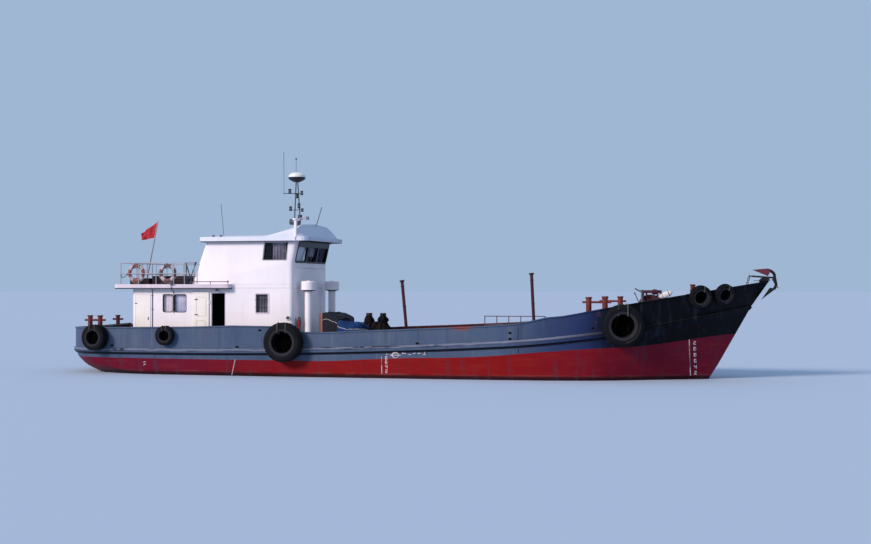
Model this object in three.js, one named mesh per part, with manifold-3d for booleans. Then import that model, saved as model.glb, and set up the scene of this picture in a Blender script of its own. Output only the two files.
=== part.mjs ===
// A small steel harbour boat that collects waste oil, with its whole hull.
// Millimetres: x forward, y to port, z up. The origin is on the centreline at the waterline, halfway along.
import * as THREE from "three";
import { mergeVertices } from "three/addons/utils/BufferGeometryUtils.js";
import Module from "manifold-3d";

const wasm = await Module();
wasm.setup();

// Clearances
const GAP = 0.3; // between pieces that touch
const RUN = 0.4; // round a pin in its bore
const LEAF_GAP = 6; // between a door leaf and the wall
const CUT = 50; // how far a cutting solid stands out past what it cuts
const SEAT_LAP = 100; // how far what stands on the sloping deck reaches into it before it is cut
const FAR = 20000; // past everything
const ANY = [-FAR, FAR];

// Hull
const STRAKE_DEPTH = 130;
const STRAKE_LIP = 20;
const STRAKE_OUT = 60;
const STEM_CURVE = 0.85;
const STATIONS_PER_SECTION = 2;
const KEEL = { half: 45, bottom: -1210, aft: -6600, fore: 9700, top: -1000 };
const SKEG = { half: 80, aft: -11000, fore: -6500, aftTop: -150, foreTop: -900 };
const HEEL = { aft: -12120, lap: 50, depth: 100 };

// Bulwark
const BULWARK = { thick: 30, rake: 570, rakeFrom: 9000, capWidth: 90, capDepth: 45 };
const STAY = { spacing: 1400, thick: 14, depth: 70, first: -11500, last: 11000, foot: 2, belowCap: 10 };
const STEM_BAR_HALF = 34;
const STEM_SLOT = { aft: 12250, fore: 13300, low: 2400, high: 3500 };

// Rudder and propeller
const RUDDER = { x: -12000, stock: 45, sides: 24, top: -80, bottom: -1060, boreTop: 520, half: 22 };
const HEEL_PIN = { radius: 25, sides: 16, lap: 10 };
const SHAFT = { z: -680, radius: 40, sides: 24, boss: 130, bossAft: -11100, bossFore: -10300, boreEnd: -10870 };
const PROPELLER = { x: -11250, radius: 400, hub: 95, hubHalf: 90, blades: 4 };

// House
const WALL = 60;
const PANE = 8;
const HOUSE = { aft: -9700, fore: -3430, half: 1850, corner: 150, foot: 600, top: 3110 };
const FLOOR = { top: 3250, aft: -10300, eaveFore: -5750, half: 2100, corner: 120 };
const WHEELHOUSE = {
  aftFoot: -7339,
  aftKnuckle: -7068,
  aftHead: -6778,
  foreHead: -3250,
  knuckle: 4000,
  top: 4800,
};
const ROOF = { aft: -7000, fore: -2800, half: 2050, corner: 250, edge: 150, crown: 60, inset: 500 };
const PANEL_SPLIT = 1700; // where side panels meet the front and aft panels
const DOORWAY = { aft: -6560, fore: -6000, sill: 1080, head: 2950 };
const DOOR = { axisX: -6610, edge: 25, width: 600, thick: 40, foot: 1060, head: 2970 };
const DOG = { heights: [1500, 2150, 2700], near: 450, far: 565, half: 14, thick: 24, out: 8 };
const HINGE = { pin: 7, barrel: 14, length: 120, sides: 8, lug: 10, tab: 28, tabThick: 12, lap: 5, bore: 40 };
const SIDE_WINDOWS = [
  // aft, fore, sill, head
  [-8450, -8060, 2240, 2880],
  [-8000, -7540, 2240, 2880],
  [-4860, -4350, 2220, 2900],
];
const HOUSE_PANES = [
  // name, aft, fore, sill, head
  ["deckhouse_glass", -8500, -7490, 2190, 2930],
  ["forward_glass", -4910, -4300, 2170, 2950],
];
const BRIDGE_WINDOW = {
  sill: 4120,
  head: 4740,
  aftSill: -4560,
  foreSill: -3680,
  aftHead: -4490,
  foreHead: -3620,
};
const BRIDGE_PANE = { aft: -4620, fore: -3590, below: 50, above: 30 };
const FRONT_WINDOWS = [
  // starboard edge, port edge
  [-1620, -580],
  [-500, 500],
  [580, 1620],
];
const FRONT_SILL = 4070;
const FRONT_HEAD = 4730;
const FRONT_PANE = { half: 1660, lap: 40 };

// Deck
const TRUNK = { aft: 0, fore: 5600, half: 1400, corner: 60, foot: 900, top: 1480 };
const HATCHES = [1000, 2500]; // aft edge of each coaming
const HATCH = { y: -500, size: 700, coaming: 100, wall: 30, lid: 40, overlap: 20, axisBack: 40, hinges: 220 };
const GRIP = { half: 100, bar: 12, width: 8, lift: 40 };
const RAIL = 17;

const FINISH = {
  bottomRed: { color: 0x9c2a20, roughness: 0.6, metalness: 0 },
  topsideGrey: { color: 0x56677f, roughness: 0.55, metalness: 0 },
  houseWhite: { color: 0xe9e4e6, roughness: 0.5, metalness: 0 },
  deckRed: { color: 0x6b2320, roughness: 0.7, metalness: 0 },
  bittRed: { color: 0x4f1c1e, roughness: 0.65, metalness: 0 },
  doorCream: { color: 0xe0d8c2, roughness: 0.5, metalness: 0 },
  glass: { color: 0x8fa3b5, roughness: 0.1, metalness: 0 },
  steelDark: { color: 0x2a2d33, roughness: 0.5, metalness: 0.4 },
  railGrey: { color: 0x8d9298, roughness: 0.5, metalness: 0.3 },
  bronze: { color: 0x9a7a3c, roughness: 0.35, metalness: 0.9 },
  rubber: { color: 0x16171a, roughness: 0.85, metalness: 0 },
  tarpDark: { color: 0x343a40, roughness: 0.9, metalness: 0 },
  tarpBlue: { color: 0x1f4f8a, roughness: 0.8, metalness: 0 },
  flagRed: { color: 0xb8242b, roughness: 0.8, metalness: 0 },
  buoyOrange: { color: 0xd8643a, roughness: 0.6, metalness: 0 },
};

const boat = new THREE.Group();

// Makes one named piece from a solid.
function piece(name, finish, body) {
  const { vertProperties, triVerts, numProp } = body.getMesh();
  if (numProp !== 3) throw new Error(name + " holds more than positions");
  const geometry = new THREE.BufferGeometry();
  geometry.setAttribute("position", new THREE.BufferAttribute(vertProperties, 3));
  geometry.setIndex(new THREE.BufferAttribute(triVerts, 1));
  geometry.computeVertexNormals();
  const mesh = new THREE.Mesh(geometry, new THREE.MeshStandardMaterial(finish));
  mesh.name = name;
  boat.add(mesh);
}

// A closed geometry as a solid, with its faces turned outwards.
function solid(geometry) {
  const bare = geometry.clone();
  bare.deleteAttribute("normal");
  bare.deleteAttribute("uv");
  const merged = mergeVertices(bare, 1e-3);
  const vertProperties = merged.attributes.position.array;
  const triVerts = new Uint32Array(merged.index.array);
  const made = new wasm.Manifold(new wasm.Mesh({ numProp: 3, vertProperties, triVerts }));
  if (made.volume() > 0) return made;
  for (let i = 0; i < triVerts.length; i += 3) {
    [triVerts[i + 1], triVerts[i + 2]] = [triVerts[i + 2], triVerts[i + 1]];
  }
  return new wasm.Manifold(new wasm.Mesh({ numProp: 3, vertProperties, triVerts }));
}

function joined(...bodies) {
  return bodies.reduce((whole, body) => whole.add(body));
}

function without(body, ...tools) {
  return tools.reduce((rest, tool) => rest.subtract(tool), body);
}

function box([x0, x1], [y0, y1], [z0, z1]) {
  const geometry = new THREE.BoxGeometry(x1 - x0, y1 - y0, z1 - z0);
  return solid(geometry.translate((x0 + x1) / 2, (y0 + y1) / 2, (z0 + z1) / 2));
}

// Turns a geometry that stands on the z axis to another direction and moves it.
function pointed(geometry, at, direction) {
  const turn = new THREE.Quaternion().setFromUnitVectors(new THREE.Vector3(0, 0, 1), direction);
  return geometry.applyQuaternion(turn).translate(at.x, at.y, at.z);
}

// A round bar between two points.
function rod(from, to, radius, sides = 8) {
  const start = new THREE.Vector3(...from);
  const way = new THREE.Vector3(...to).sub(start);
  const length = way.length();
  const geometry = new THREE.CylinderGeometry(radius, radius, length, sides).rotateX(Math.PI / 2);
  return solid(pointed(geometry.translate(0, 0, length / 2), start, way.normalize()));
}

// The bore that leaves a faceted pin its running gap all round.
function boreRadius(pin, sides) {
  return (pin + RUN) / Math.cos(Math.PI / sides);
}

// A profile of [radius, height] pairs turned round the z axis.
function turned(profile, sides = 20) {
  const points = profile.map(([radius, height]) => new THREE.Vector2(radius, height));
  return new THREE.LatheGeometry(points, sides).rotateX(Math.PI / 2);
}

// An upright outline of [x, z] pairs given a thickness from one y to another.
function plate(outline, from, to) {
  const shape = new THREE.Shape(outline.map(([x, z]) => new THREE.Vector2(x, z)));
  const geometry = new THREE.ExtrudeGeometry(shape, { depth: to - from, bevelEnabled: false });
  return solid(geometry.translate(0, 0, -to).rotateX(Math.PI / 2));
}

// A closed skin over rings of equally many points. Each end is closed like a ladder: the ring's first point
// faces its last one, the second faces the last but one, and so on.
function loft(rings) {
  const size = rings[0].length;
  const positions = rings.flat().flatMap((point) => [point.x, point.y, point.z]);
  const faces = [];
  for (let r = 0; r < rings.length - 1; r++) {
    for (let i = 0; i < size; i++) {
      const a = r * size + i;
      const b = r * size + ((i + 1) % size);
      faces.push(a, b, b + size, a, b + size, a + size);
    }
  }
  const endCap = (base, turn) => {
    const add = (a, b, c) => faces.push(base + a, base + (turn ? c : b), base + (turn ? b : c));
    for (let i = 0; i < size / 2 - 1; i++) {
      add(i, size - 1 - i, size - 2 - i);
      add(i, size - 2 - i, i + 1);
    }
  };
  endCap(0, false);
  endCap((rings.length - 1) * size, true);
  const geometry = new THREE.BufferGeometry();
  geometry.setAttribute("position", new THREE.Float32BufferAttribute(positions, 3));
  geometry.setIndex(faces);
  return geometry;
}

// A level ring: a rectangle with rounded corners, from aft to fore and between the two sides.
function planRing({ aft, fore, half, corner, z, y = 0 }) {
  const steps = 3;
  const corners = [
    // centre x, centre y, first angle in quarter turns
    [fore - corner, half - corner, 0],
    [aft + corner, half - corner, 1],
    [aft + corner, corner - half, 2],
    [fore - corner, corner - half, 3],
  ];
  return corners.flatMap(([x, cy, quarter]) =>
    Array.from({ length: steps + 1 }, (_, i) => {
      const angle = (quarter + i / steps) * (Math.PI / 2);
      return new THREE.Vector3(x + corner * Math.cos(angle), y + cy + corner * Math.sin(angle), z);
    }),
  );
}

// Hull sections from stern to stem, port side: the deck edge's x and the keel's x, then the keel's height,
// three points down the side as half-breadth and height, the deck edge and the bulwark's top.
const SECTIONS = [
  // deckX, keelX, keelZ, floorY, floorZ, bilgeY, bilgeZ, sideY, sideZ, deckY, deckZ, railY, railZ
  [-12500, -12500, 690, 200, 692, 350, 697, 480, 705, 520, 850, 520, 1650],
  [-12270, -12270, 490, 480, 500, 850, 545, 1120, 640, 1290, 850, 1290, 1660],
  [-11920, -11920, 150, 620, 190, 1220, 320, 1620, 540, 1850, 850, 1850, 1675],
  [-11440, -11440, -90, 740, -30, 1500, 160, 2020, 460, 2270, 850, 2270, 1688],
  [-10930, -10930, -220, 760, -170, 1660, 20, 2250, 350, 2470, 852, 2470, 1698],
  [-9800, -9800, -500, 740, -450, 1740, -230, 2400, 170, 2560, 856, 2560, 1706],
  [-9000, -9000, -760, 700, -690, 1700, -450, 2430, 50, 2610, 862, 2610, 1712],
  [-7000, -7000, -1060, 800, -1010, 1900, -800, 2490, -200, 2640, 870, 2640, 1738],
  [-3900, -3900, -1140, 890, -1115, 2120, -930, 2552, -288, 2649, 914, 2649, 1775],
  [-3000, -3000, -1150, 900, -1130, 2150, -950, 2562, -300, 2650, 937, 2650, 1580],
  [-500, -500, -1150, 900, -1130, 2150, -950, 2570, -300, 2650, 1015, 2650, 1655],
  [2500, 2500, -1150, 850, -1125, 2080, -930, 2530, -280, 2640, 1145, 2640, 1778],
  [4900, 4900, -1150, 750, -1110, 1880, -870, 2430, -230, 2570, 1285, 2575, 1930],
  [5850, 5850, -1150, 680, -1095, 1720, -840, 2340, -210, 2510, 1370, 2520, 2130],
  [6400, 6390, -1142, 620, -1075, 1580, -810, 2225, -175, 2465, 1430, 2475, 2180],
  [7300, 7280, -1130, 520, -1050, 1350, -760, 2020, -120, 2370, 1535, 2400, 2350],
  [8600, 8450, -1090, 360, -970, 960, -620, 1520, 60, 2130, 1715, 2200, 2585],
  [9900, 9350, -1030, 220, -850, 600, -450, 960, 300, 1720, 1950, 1840, 2815],
  [11200, 9950, -970, 110, -700, 280, -300, 500, 500, 1080, 2210, 1240, 3075],
  [12460, 10350, -900, 60, -550, 60, -200, 60, 480, 60, 2480, 60, 3350],
];

const mix = THREE.MathUtils.lerp;

// The forward rake of the bulwark's top past the deck edge.
function rakeAt(x) {
  const share = Math.max(0, (x - BULWARK.rakeFrom) / (SECTIONS.at(-1)[0] - BULWARK.rakeFrom));
  return BULWARK.rake * share ** 2;
}

// One smooth line along the hull through the same place of each section.
function hullLine(place) {
  const points = SECTIONS.map(([deckX, keelX, keelZ, ...rest]) => {
    const deckZ = rest[7];
    const [y, z, x] = place(deckX, keelZ, rest);
    const rise = THREE.MathUtils.clamp((z - keelZ) / (deckZ - keelZ), 0, 1);
    return new THREE.Vector3(x ?? mix(keelX, deckX, rise ** STEM_CURVE), y, z);
  });
  return new THREE.CatmullRomCurve3(points, false, "centripetal");
}

const LINES = {
  keel: hullLine((x, keelZ) => [KEEL.half, keelZ]),
  floor: hullLine((x, keelZ, row) => [row[0], row[1]]),
  bilge: hullLine((x, keelZ, row) => [row[2], row[3]]),
  side: hullLine((x, keelZ, row) => [row[4], row[5]]),
  deck: hullLine((x, keelZ, row) => [row[6], row[7]]),
  rail: hullLine((x, keelZ, row) => [row[8], row[9], x + rakeAt(x)]),
};

// Every station: its points down the side, its way outboard in plan, and the bulwark's foot and head.
const STATION_COUNT = (SECTIONS.length - 1) * STATIONS_PER_SECTION;
const STATIONS = Array.from({ length: STATION_COUNT + 1 }, (_, i) => {
  const share = i / STATION_COUNT;
  const at = (name, t = share) => LINES[name].getPoint(THREE.MathUtils.clamp(t, 0, 1));
  const step = 0.2 / STATION_COUNT;
  const along = at("deck", share + step).sub(at("deck", share - step)).normalize();
  const out = new THREE.Vector3(-along.y, along.x, 0).normalize();
  return {
    keel: at("keel"),
    floor: at("floor"),
    bilge: at("bilge"),
    side: at("side"),
    foot: at("deck"),
    head: at("rail"),
    out,
  };
});

const across = (point) => new THREE.Vector3(point.x, -point.y, point.z);
const moved = (point, way, distance) => point.clone().addScaledVector(way, distance);

// The hull's ring at a station, raised by a small distance where a clearance is wanted.
function hullRing({ keel, floor, bilge, side, foot, out }, raise) {
  const under = side.clone().lerp(foot, (foot.z - STRAKE_DEPTH - side.z) / (foot.z - side.z));
  const lip = moved(foot, out, STRAKE_OUT);
  lip.z -= STRAKE_LIP;
  const belly = moved(under, out, STRAKE_OUT);
  belly.z += STRAKE_LIP;
  const port = [keel, floor, bilge, side, under, belly, lip, foot];
  const ring = [...port, ...port.map(across).reverse()];
  return ring.map((point) => new THREE.Vector3(point.x, point.y, point.z + raise));
}

const hullSkin = (raise) => solid(loft(STATIONS.map((station) => hullRing(station, raise))));
const raisedDeck = hullSkin(GAP);

// What stands on the deck ends just above it.
const seated = (body) => without(body, raisedDeck);

// The deck edge at a place along the boat, port side.
function edgeAt(x) {
  const next = Math.max(1, STATIONS.findIndex((station) => station.foot.x >= x));
  const [a, b] = [STATIONS[next - 1], STATIONS[next]];
  const share = (x - a.foot.x) / (b.foot.x - a.foot.x);
  return {
    foot: a.foot.clone().lerp(b.foot, share),
    head: a.head.clone().lerp(b.head, share),
    out: a.out.clone().lerp(b.out, share).normalize(),
  };
}

const deckHeight = (x) => edgeAt(x).foot.z;

// Hull
const skegOutline = [
  [SKEG.fore, SKEG.foreTop],
  [SKEG.fore, KEEL.bottom],
  [SKEG.aft, KEEL.bottom],
  [SKEG.aft, SKEG.aftTop],
];
const atRudder = (z) => [RUDDER.x, 0, z];
const onShaft = (x) => [x, 0, SHAFT.z];
const keelWidth = [-KEEL.half, KEEL.half];
const belowHeel = KEEL.bottom - CUT;
const aboveHeel = KEEL.bottom + HEEL.depth + CUT;
const hull = without(
  joined(
    hullSkin(0),
    plate(skegOutline, -SKEG.half, SKEG.half),
    box([KEEL.aft, KEEL.fore], keelWidth, [KEEL.bottom, KEEL.top]),
    box([HEEL.aft, SKEG.aft + HEEL.lap], keelWidth, [KEEL.bottom, KEEL.bottom + HEEL.depth]),
    rod(onShaft(SHAFT.bossAft), onShaft(SHAFT.bossFore), SHAFT.boss, SHAFT.sides),
  ),
  rod(onShaft(SHAFT.bossAft - CUT), onShaft(SHAFT.boreEnd), boreRadius(SHAFT.radius, SHAFT.sides), SHAFT.sides),
  rod(atRudder(RUDDER.top), atRudder(RUDDER.boreTop), boreRadius(RUDDER.stock, RUDDER.sides), RUDDER.sides),
  rod(atRudder(belowHeel), atRudder(aboveHeel), boreRadius(HEEL_PIN.radius, HEEL_PIN.sides), HEEL_PIN.sides),
);
piece("hull", FINISH.bottomRed, hull);

// Bulwark, port side as rings of four points along the deck edge
const sternCentre = {
  foot: new THREE.Vector3(SECTIONS[0][0], GAP, SECTIONS[0][10]),
  head: new THREE.Vector3(SECTIONS[0][0], GAP, SECTIONS[0][12]),
  out: new THREE.Vector3(-1, 0, 0),
};
const bulwarkPath = [sternCentre, ...STATIONS];

// The plate and its cap rail in one ring.
function bulwarkRing({ foot, head, out }, side) {
  const { thick, capWidth, capDepth } = BULWARK;
  const overhang = (capWidth - thick) / 2;
  const low = new THREE.Vector3(0, 0, -capDepth);
  const at = (point, inboard, drop = new THREE.Vector3()) => moved(point, out, -inboard).add(drop);
  const inner = at(foot, thick);
  inner.z = deckHeight(inner.x);
  const ring = [
    foot, at(head, 0, low), at(head, -overhang, low), at(head, -overhang),
    at(head, thick + overhang), at(head, thick + overhang, low), at(head, thick, low), inner,
  ];
  return ring.map((point, i) => {
    const seat = i % 7 === 0 ? GAP : 0;
    return new THREE.Vector3(point.x, Math.max(point.y, GAP) * side, point.z + seat);
  });
}

// A flat bar that stiffens the bulwark from inside.
function stay(x, side) {
  const { foot, head, out } = edgeAt(x);
  const along = new THREE.Vector3(out.y, -out.x, 0).multiplyScalar(STAY.thick / 2);
  const rings = [[foot, STAY.foot], [head, -BULWARK.capDepth - STAY.belowCap]].map(([end, lift]) => {
    const near = moved(end, out, -BULWARK.thick / 2);
    const far = moved(end, out, -BULWARK.thick - STAY.depth);
    const left = (point) => point.clone().sub(along);
    const right = (point) => point.clone().add(along);
    const ring = [right(near), left(near), left(far), right(far)];
    return ring.map((point) => new THREE.Vector3(point.x, point.y * side, point.z + lift));
  });
  return solid(loft(rings));
}

const stemSlot = box(
  [STEM_SLOT.aft, STEM_SLOT.fore],
  [-STEM_BAR_HALF - GAP, STEM_BAR_HALF + GAP],
  [STEM_SLOT.low, STEM_SLOT.high],
);

function bulwark(side) {
  const stays = [];
  for (let x = STAY.first; x <= STAY.last; x += STAY.spacing) stays.push(stay(x, side));
  const plating = solid(loft(bulwarkPath.map((station) => bulwarkRing(station, side))));
  return without(joined(plating, ...stays), stemSlot);
}

// The two hands of the boat: name and sign of y
const SIDES = { starboard: -1, port: 1 };
const bulwarks = {};
for (const [hand, side] of Object.entries(SIDES)) {
  bulwarks[hand] = bulwark(side);
  piece("bulwark_" + hand, FINISH.topsideGrey, bulwarks[hand]);
}

// Stem head: the bar between the bulwarks, a deck plate and the roller's cheeks
const ROLLER = { x: 12950, z: 3440, radius: 22, cheek: 12, half: 80 };
const STEM_BAR = [[12330, 2484], [12455, 2484], [13035, 3360], [12750, 3360]];
const HEAD_PLATE = { aft: 12560, fore: 13060, half: 130, low: 3356, high: 3372 };
const CHEEK = [[12700, 3360], [13100, 3360], [13040, 3500], [12860, 3500]];
const headPlateWidth = [-HEAD_PLATE.half, HEAD_PLATE.half];
const stemHead = joined(
  plate(STEM_BAR, -STEM_BAR_HALF, STEM_BAR_HALF),
  box([HEAD_PLATE.aft, HEAD_PLATE.fore], headPlateWidth, [HEAD_PLATE.low, HEAD_PLATE.high]),
  ...[-ROLLER.half, ROLLER.half].map((y) => plate(CHEEK, y - ROLLER.cheek / 2, y + ROLLER.cheek / 2)),
  rod([ROLLER.x, -ROLLER.half, ROLLER.z], [ROLLER.x, ROLLER.half, ROLLER.z], ROLLER.radius, 10),
);
piece("stem_head", FINISH.steelDark, stemHead);

// A solid moved bodily by a vector.
function shifted(body, by) {
  const { vertProperties, triVerts } = body.getMesh();
  const geometry = new THREE.BufferGeometry();
  geometry.setAttribute("position", new THREE.BufferAttribute(vertProperties, 3));
  geometry.setIndex(new THREE.BufferAttribute(triVerts, 1));
  return solid(geometry.translate(by.x, by.y, by.z));
}

// Anchor: its arms stand in the centre plane round the stem head, and its shank lies on the roller
const ANCHOR = { half: 24, palmHalf: 110, shank: 22, crown: [13230, 0, 3462], head: [12380, 0, 3526] };
const ANCHOR_PIN = { x: 12420, z: 3523, half: 90, radius: 14 };
const ANCHOR_ARMS = [
  [12960, 3770], [13130, 3735], [13265, 3620], [13300, 3460], [13345, 3220], [13265, 3060], [13110, 3060],
  [13200, 3130], [13265, 3230], [13200, 3330], [13190, 3420], [13215, 3570], [13110, 3660], [12960, 3700],
];
const UPPER_PALM = [[12510, 3735], [12960, 3775], [13120, 3700], [13020, 3520]];
const LOWER_PALM = [[12800, 2720], [13090, 3130], [13270, 3080]];
const onAnchorPin = (y) => [ANCHOR_PIN.x, y, ANCHOR_PIN.z];
const headClear = shifted(stemHead, new THREE.Vector3(0, 0, GAP));
piece(
  "anchor",
  FINISH.bittRed,
  joined(
    plate(ANCHOR_ARMS, -ANCHOR.half, ANCHOR.half),
    plate(UPPER_PALM, -ANCHOR.palmHalf, ANCHOR.palmHalf),
    plate(LOWER_PALM, -ANCHOR.palmHalf, ANCHOR.palmHalf),
    without(rod(ANCHOR.crown, ANCHOR.head, ANCHOR.shank, 8), headClear),
    rod(onAnchorPin(-ANCHOR_PIN.half), onAnchorPin(ANCHOR_PIN.half), ANCHOR_PIN.radius, 6),
  ),
);

// House walls: one shell for each storey, cut into its panels
function shell(rings) {
  const inset = ({ aft, fore, half, corner, z }) =>
    planRing({ aft: aft + WALL, fore: fore - WALL, half: half - WALL, corner: corner - WALL, z });
  const inner = rings.map(inset);
  const above = inner.at(-1).map((point) => new THREE.Vector3(point.x, point.y, point.z + CUT));
  const below = inner[0].map((point) => new THREE.Vector3(point.x, point.y, point.z - CUT));
  return without(solid(loft(rings.map(planRing))), solid(loft([below, ...inner, above])));
}

const { corner, half } = HOUSE;
const houseShell = seated(
  shell([
    { ...HOUSE, z: HOUSE.foot },
    { ...HOUSE, z: HOUSE.top - GAP },
  ]),
);
const bridgeShell = shell([
  { aft: WHEELHOUSE.aftFoot, fore: HOUSE.fore, half, corner, z: FLOOR.top + GAP },
  { aft: WHEELHOUSE.aftKnuckle, fore: HOUSE.fore, half, corner, z: WHEELHOUSE.knuckle },
  { aft: WHEELHOUSE.aftHead, fore: WHEELHOUSE.foreHead, half, corner, z: WHEELHOUSE.top - GAP },
]);

const MIDSHIP_OF_HOUSE = -5000;
const betweenSides = [-PANEL_SPLIT + GAP, PANEL_SPLIT - GAP];
const foreHalf = box([MIDSHIP_OF_HOUSE, FAR], betweenSides, ANY);
const aftHalf = box([-FAR, MIDSHIP_OF_HOUSE], betweenSides, ANY);
const sideHalf = (side) => box(ANY, side > 0 ? [PANEL_SPLIT, FAR] : [-FAR, -PANEL_SPLIT], ANY);
const throughWall = [-HOUSE.half - CUT, -HOUSE.half + WALL + CUT];
const atSide = (side, [low, high]) => (side > 0 ? [-high, -low] : [low, high]);

// A hinge on an upright or level axis: the barrel that moves, and the two that stay with the pin between them.
function hinge(at, axis) {
  const centre = new THREE.Vector3(...at);
  const way = new THREE.Vector3(...axis);
  const end = (distance) => moved(centre, way, distance).toArray();
  const halfMoving = HINGE.length / 4;
  const halfFixed = HINGE.length / 2;
  const round = (from, to, radius) => rod(end(from), end(to), radius, HINGE.sides);
  return {
    moving: without(
      round(-halfMoving, halfMoving, HINGE.barrel),
      round(-halfFixed, halfFixed, boreRadius(HINGE.pin, HINGE.sides)),
    ),
    fixed: joined(
      round(-halfFixed, -halfMoving - RUN, HINGE.barrel),
      round(halfMoving + RUN, halfFixed, HINGE.barrel),
      round(-halfFixed, halfFixed, HINGE.pin),
    ),
  };
}

const DOOR_HINGES = [1400, 2600]; // heights
const doorAxisY = HOUSE.half + LEAF_GAP + DOOR.thick / 2;

function doorHinge(side, z) {
  const made = hinge([DOOR.axisX, side * doorAxisY, z], [0, 0, 1]);
  const lug = (low, high) =>
    box(
      [DOOR.axisX - HINGE.lug, DOOR.axisX + HINGE.lug],
      atSide(side, [-doorAxisY, -HOUSE.half + WALL / 2]),
      [z + low, z + high],
    );
  const reach = HINGE.length / 2;
  const inner = HINGE.length / 4 + RUN;
  return { moving: made.moving, fixed: joined(made.fixed, lug(-reach, -inner), lug(inner, reach)) };
}

function houseSide(side) {
  const windows = SIDE_WINDOWS.map(([aft, fore, sill, head]) =>
    box([aft, fore], atSide(side, throughWall), [sill, head]),
  );
  const doorway = box([DOORWAY.aft, DOORWAY.fore], atSide(side, throughWall), [DOORWAY.sill, DOORWAY.head]);
  const wall = without(houseShell.intersect(sideHalf(side)), doorway, ...windows);
  return joined(wall, ...DOOR_HINGES.map((z) => doorHinge(side, z).fixed));
}

function bridgeSide(side) {
  const { sill, head, aftSill, foreSill, aftHead, foreHead } = BRIDGE_WINDOW;
  const [from, to] = atSide(side, throughWall);
  const opening = plate([[aftSill, sill], [foreSill, sill], [foreHead, head], [aftHead, head]], from, to);
  return without(bridgeShell.intersect(sideHalf(side)), opening);
}

// A door leaf on its hinge line, closed or folded right back against the wall.
function doorLeaf(side, folded) {
  const way = folded ? -1 : 1;
  const reach = (near, far) => {
    const ends = [DOOR.axisX + way * near, DOOR.axisX + way * far];
    return ends.sort((a, b) => a - b);
  };
  const span = (middle, thick) => {
    const y = side * middle;
    return [y - thick / 2, y + thick / 2];
  };
  const leafHeights = [DOOR.foot, DOOR.head];
  const leaf = box(reach(DOOR.edge, DOOR.edge + DOOR.width), span(doorAxisY, DOOR.thick), leafHeights);
  const tabs = DOOR_HINGES.map((z) =>
    box(reach(0, DOOR.edge + HINGE.lap), span(doorAxisY, HINGE.tabThick), [z - HINGE.tab, z + HINGE.tab]),
  );
  const barrels = DOOR_HINGES.map((z) => doorHinge(side, z).moving);
  const bores = DOOR_HINGES.map((z) =>
    rod(
      [DOOR.axisX, side * doorAxisY, z - HINGE.bore],
      [DOOR.axisX, side * doorAxisY, z + HINGE.bore],
      boreRadius(HINGE.pin, HINGE.sides),
      HINGE.sides,
    ),
  );
  const face = doorAxisY - way * (DOOR.thick / 2 + DOG.out);
  const dogs = DOG.heights.map((z) =>
    box(reach(DOG.near, DOG.far), span(face, DOG.thick), [z - DOG.half, z + DOG.half]),
  );
  return joined(without(joined(leaf, ...tabs), ...bores), ...barrels, ...dogs);
}

for (const [hand, side] of Object.entries(SIDES)) {
  piece("deckhouse_side_" + hand, FINISH.houseWhite, houseSide(side));
  piece("wheelhouse_side_" + hand, FINISH.houseWhite, bridgeSide(side));
  piece("door_" + hand, FINISH.doorCream, doorLeaf(side, side < 0));
  const innerFace = [-HOUSE.half + WALL + GAP, -HOUSE.half + WALL + GAP + PANE];
  for (const [name, aft, fore, sill, head] of HOUSE_PANES) {
    piece(name + "_" + hand, FINISH.glass, box([aft, fore], atSide(side, innerFace), [sill, head]));
  }
  const paneHeights = [BRIDGE_WINDOW.sill - BRIDGE_PANE.below, BRIDGE_WINDOW.head + BRIDGE_PANE.above];
  const pane = box([BRIDGE_PANE.aft, BRIDGE_PANE.fore], atSide(side, innerFace), paneHeights);
  piece("wheelhouse_glass_" + hand, FINISH.glass, pane);
}
piece("deckhouse_front_wall", FINISH.houseWhite, houseShell.intersect(foreHalf));
piece("deckhouse_aft_wall", FINISH.houseWhite, houseShell.intersect(aftHalf));
piece("wheelhouse_aft_wall", FINISH.houseWhite, bridgeShell.intersect(aftHalf));
const throughFront = [HOUSE.fore - WALL - 2 * CUT, WHEELHOUSE.foreHead + CUT];
const frontHeights = [FRONT_SILL, FRONT_HEAD];
const frontOpenings = FRONT_WINDOWS.map(([low, high]) => box(throughFront, [low, high], frontHeights));
piece("wheelhouse_front_wall", FINISH.houseWhite, without(bridgeShell.intersect(foreHalf), ...frontOpenings));

// The front pane leans with the inside of the wall
const frontLean = (WHEELHOUSE.foreHead - HOUSE.fore) / (WHEELHOUSE.top - WHEELHOUSE.knuckle);
const frontInside = (z) => HOUSE.fore - WALL - 2 * GAP + frontLean * (z - WHEELHOUSE.knuckle);
const paneLow = FRONT_SILL - FRONT_PANE.lap;
const paneHigh = FRONT_HEAD + FRONT_PANE.lap;
const frontPane = [
  [frontInside(paneLow), paneLow],
  [frontInside(paneHigh), paneHigh],
  [frontInside(paneHigh) - PANE, paneHigh],
  [frontInside(paneLow) - PANE, paneLow],
];
piece("wheelhouse_glass_front", FINISH.glass, plate(frontPane, -FRONT_PANE.half, FRONT_PANE.half));

// Platform deck: the wheelhouse floor and the eaves round the aft part
const slab = (size, low, high) => solid(loft([planRing({ ...size, z: low }), planRing({ ...size, z: high })]));
const platform = joined(
  slab(HOUSE, HOUSE.top, FLOOR.top),
  slab({ aft: FLOOR.aft, fore: FLOOR.eaveFore, half: FLOOR.half, corner: FLOOR.corner }, HOUSE.top, FLOOR.top),
);
piece("platform_deck", FINISH.houseWhite, platform);

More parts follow.
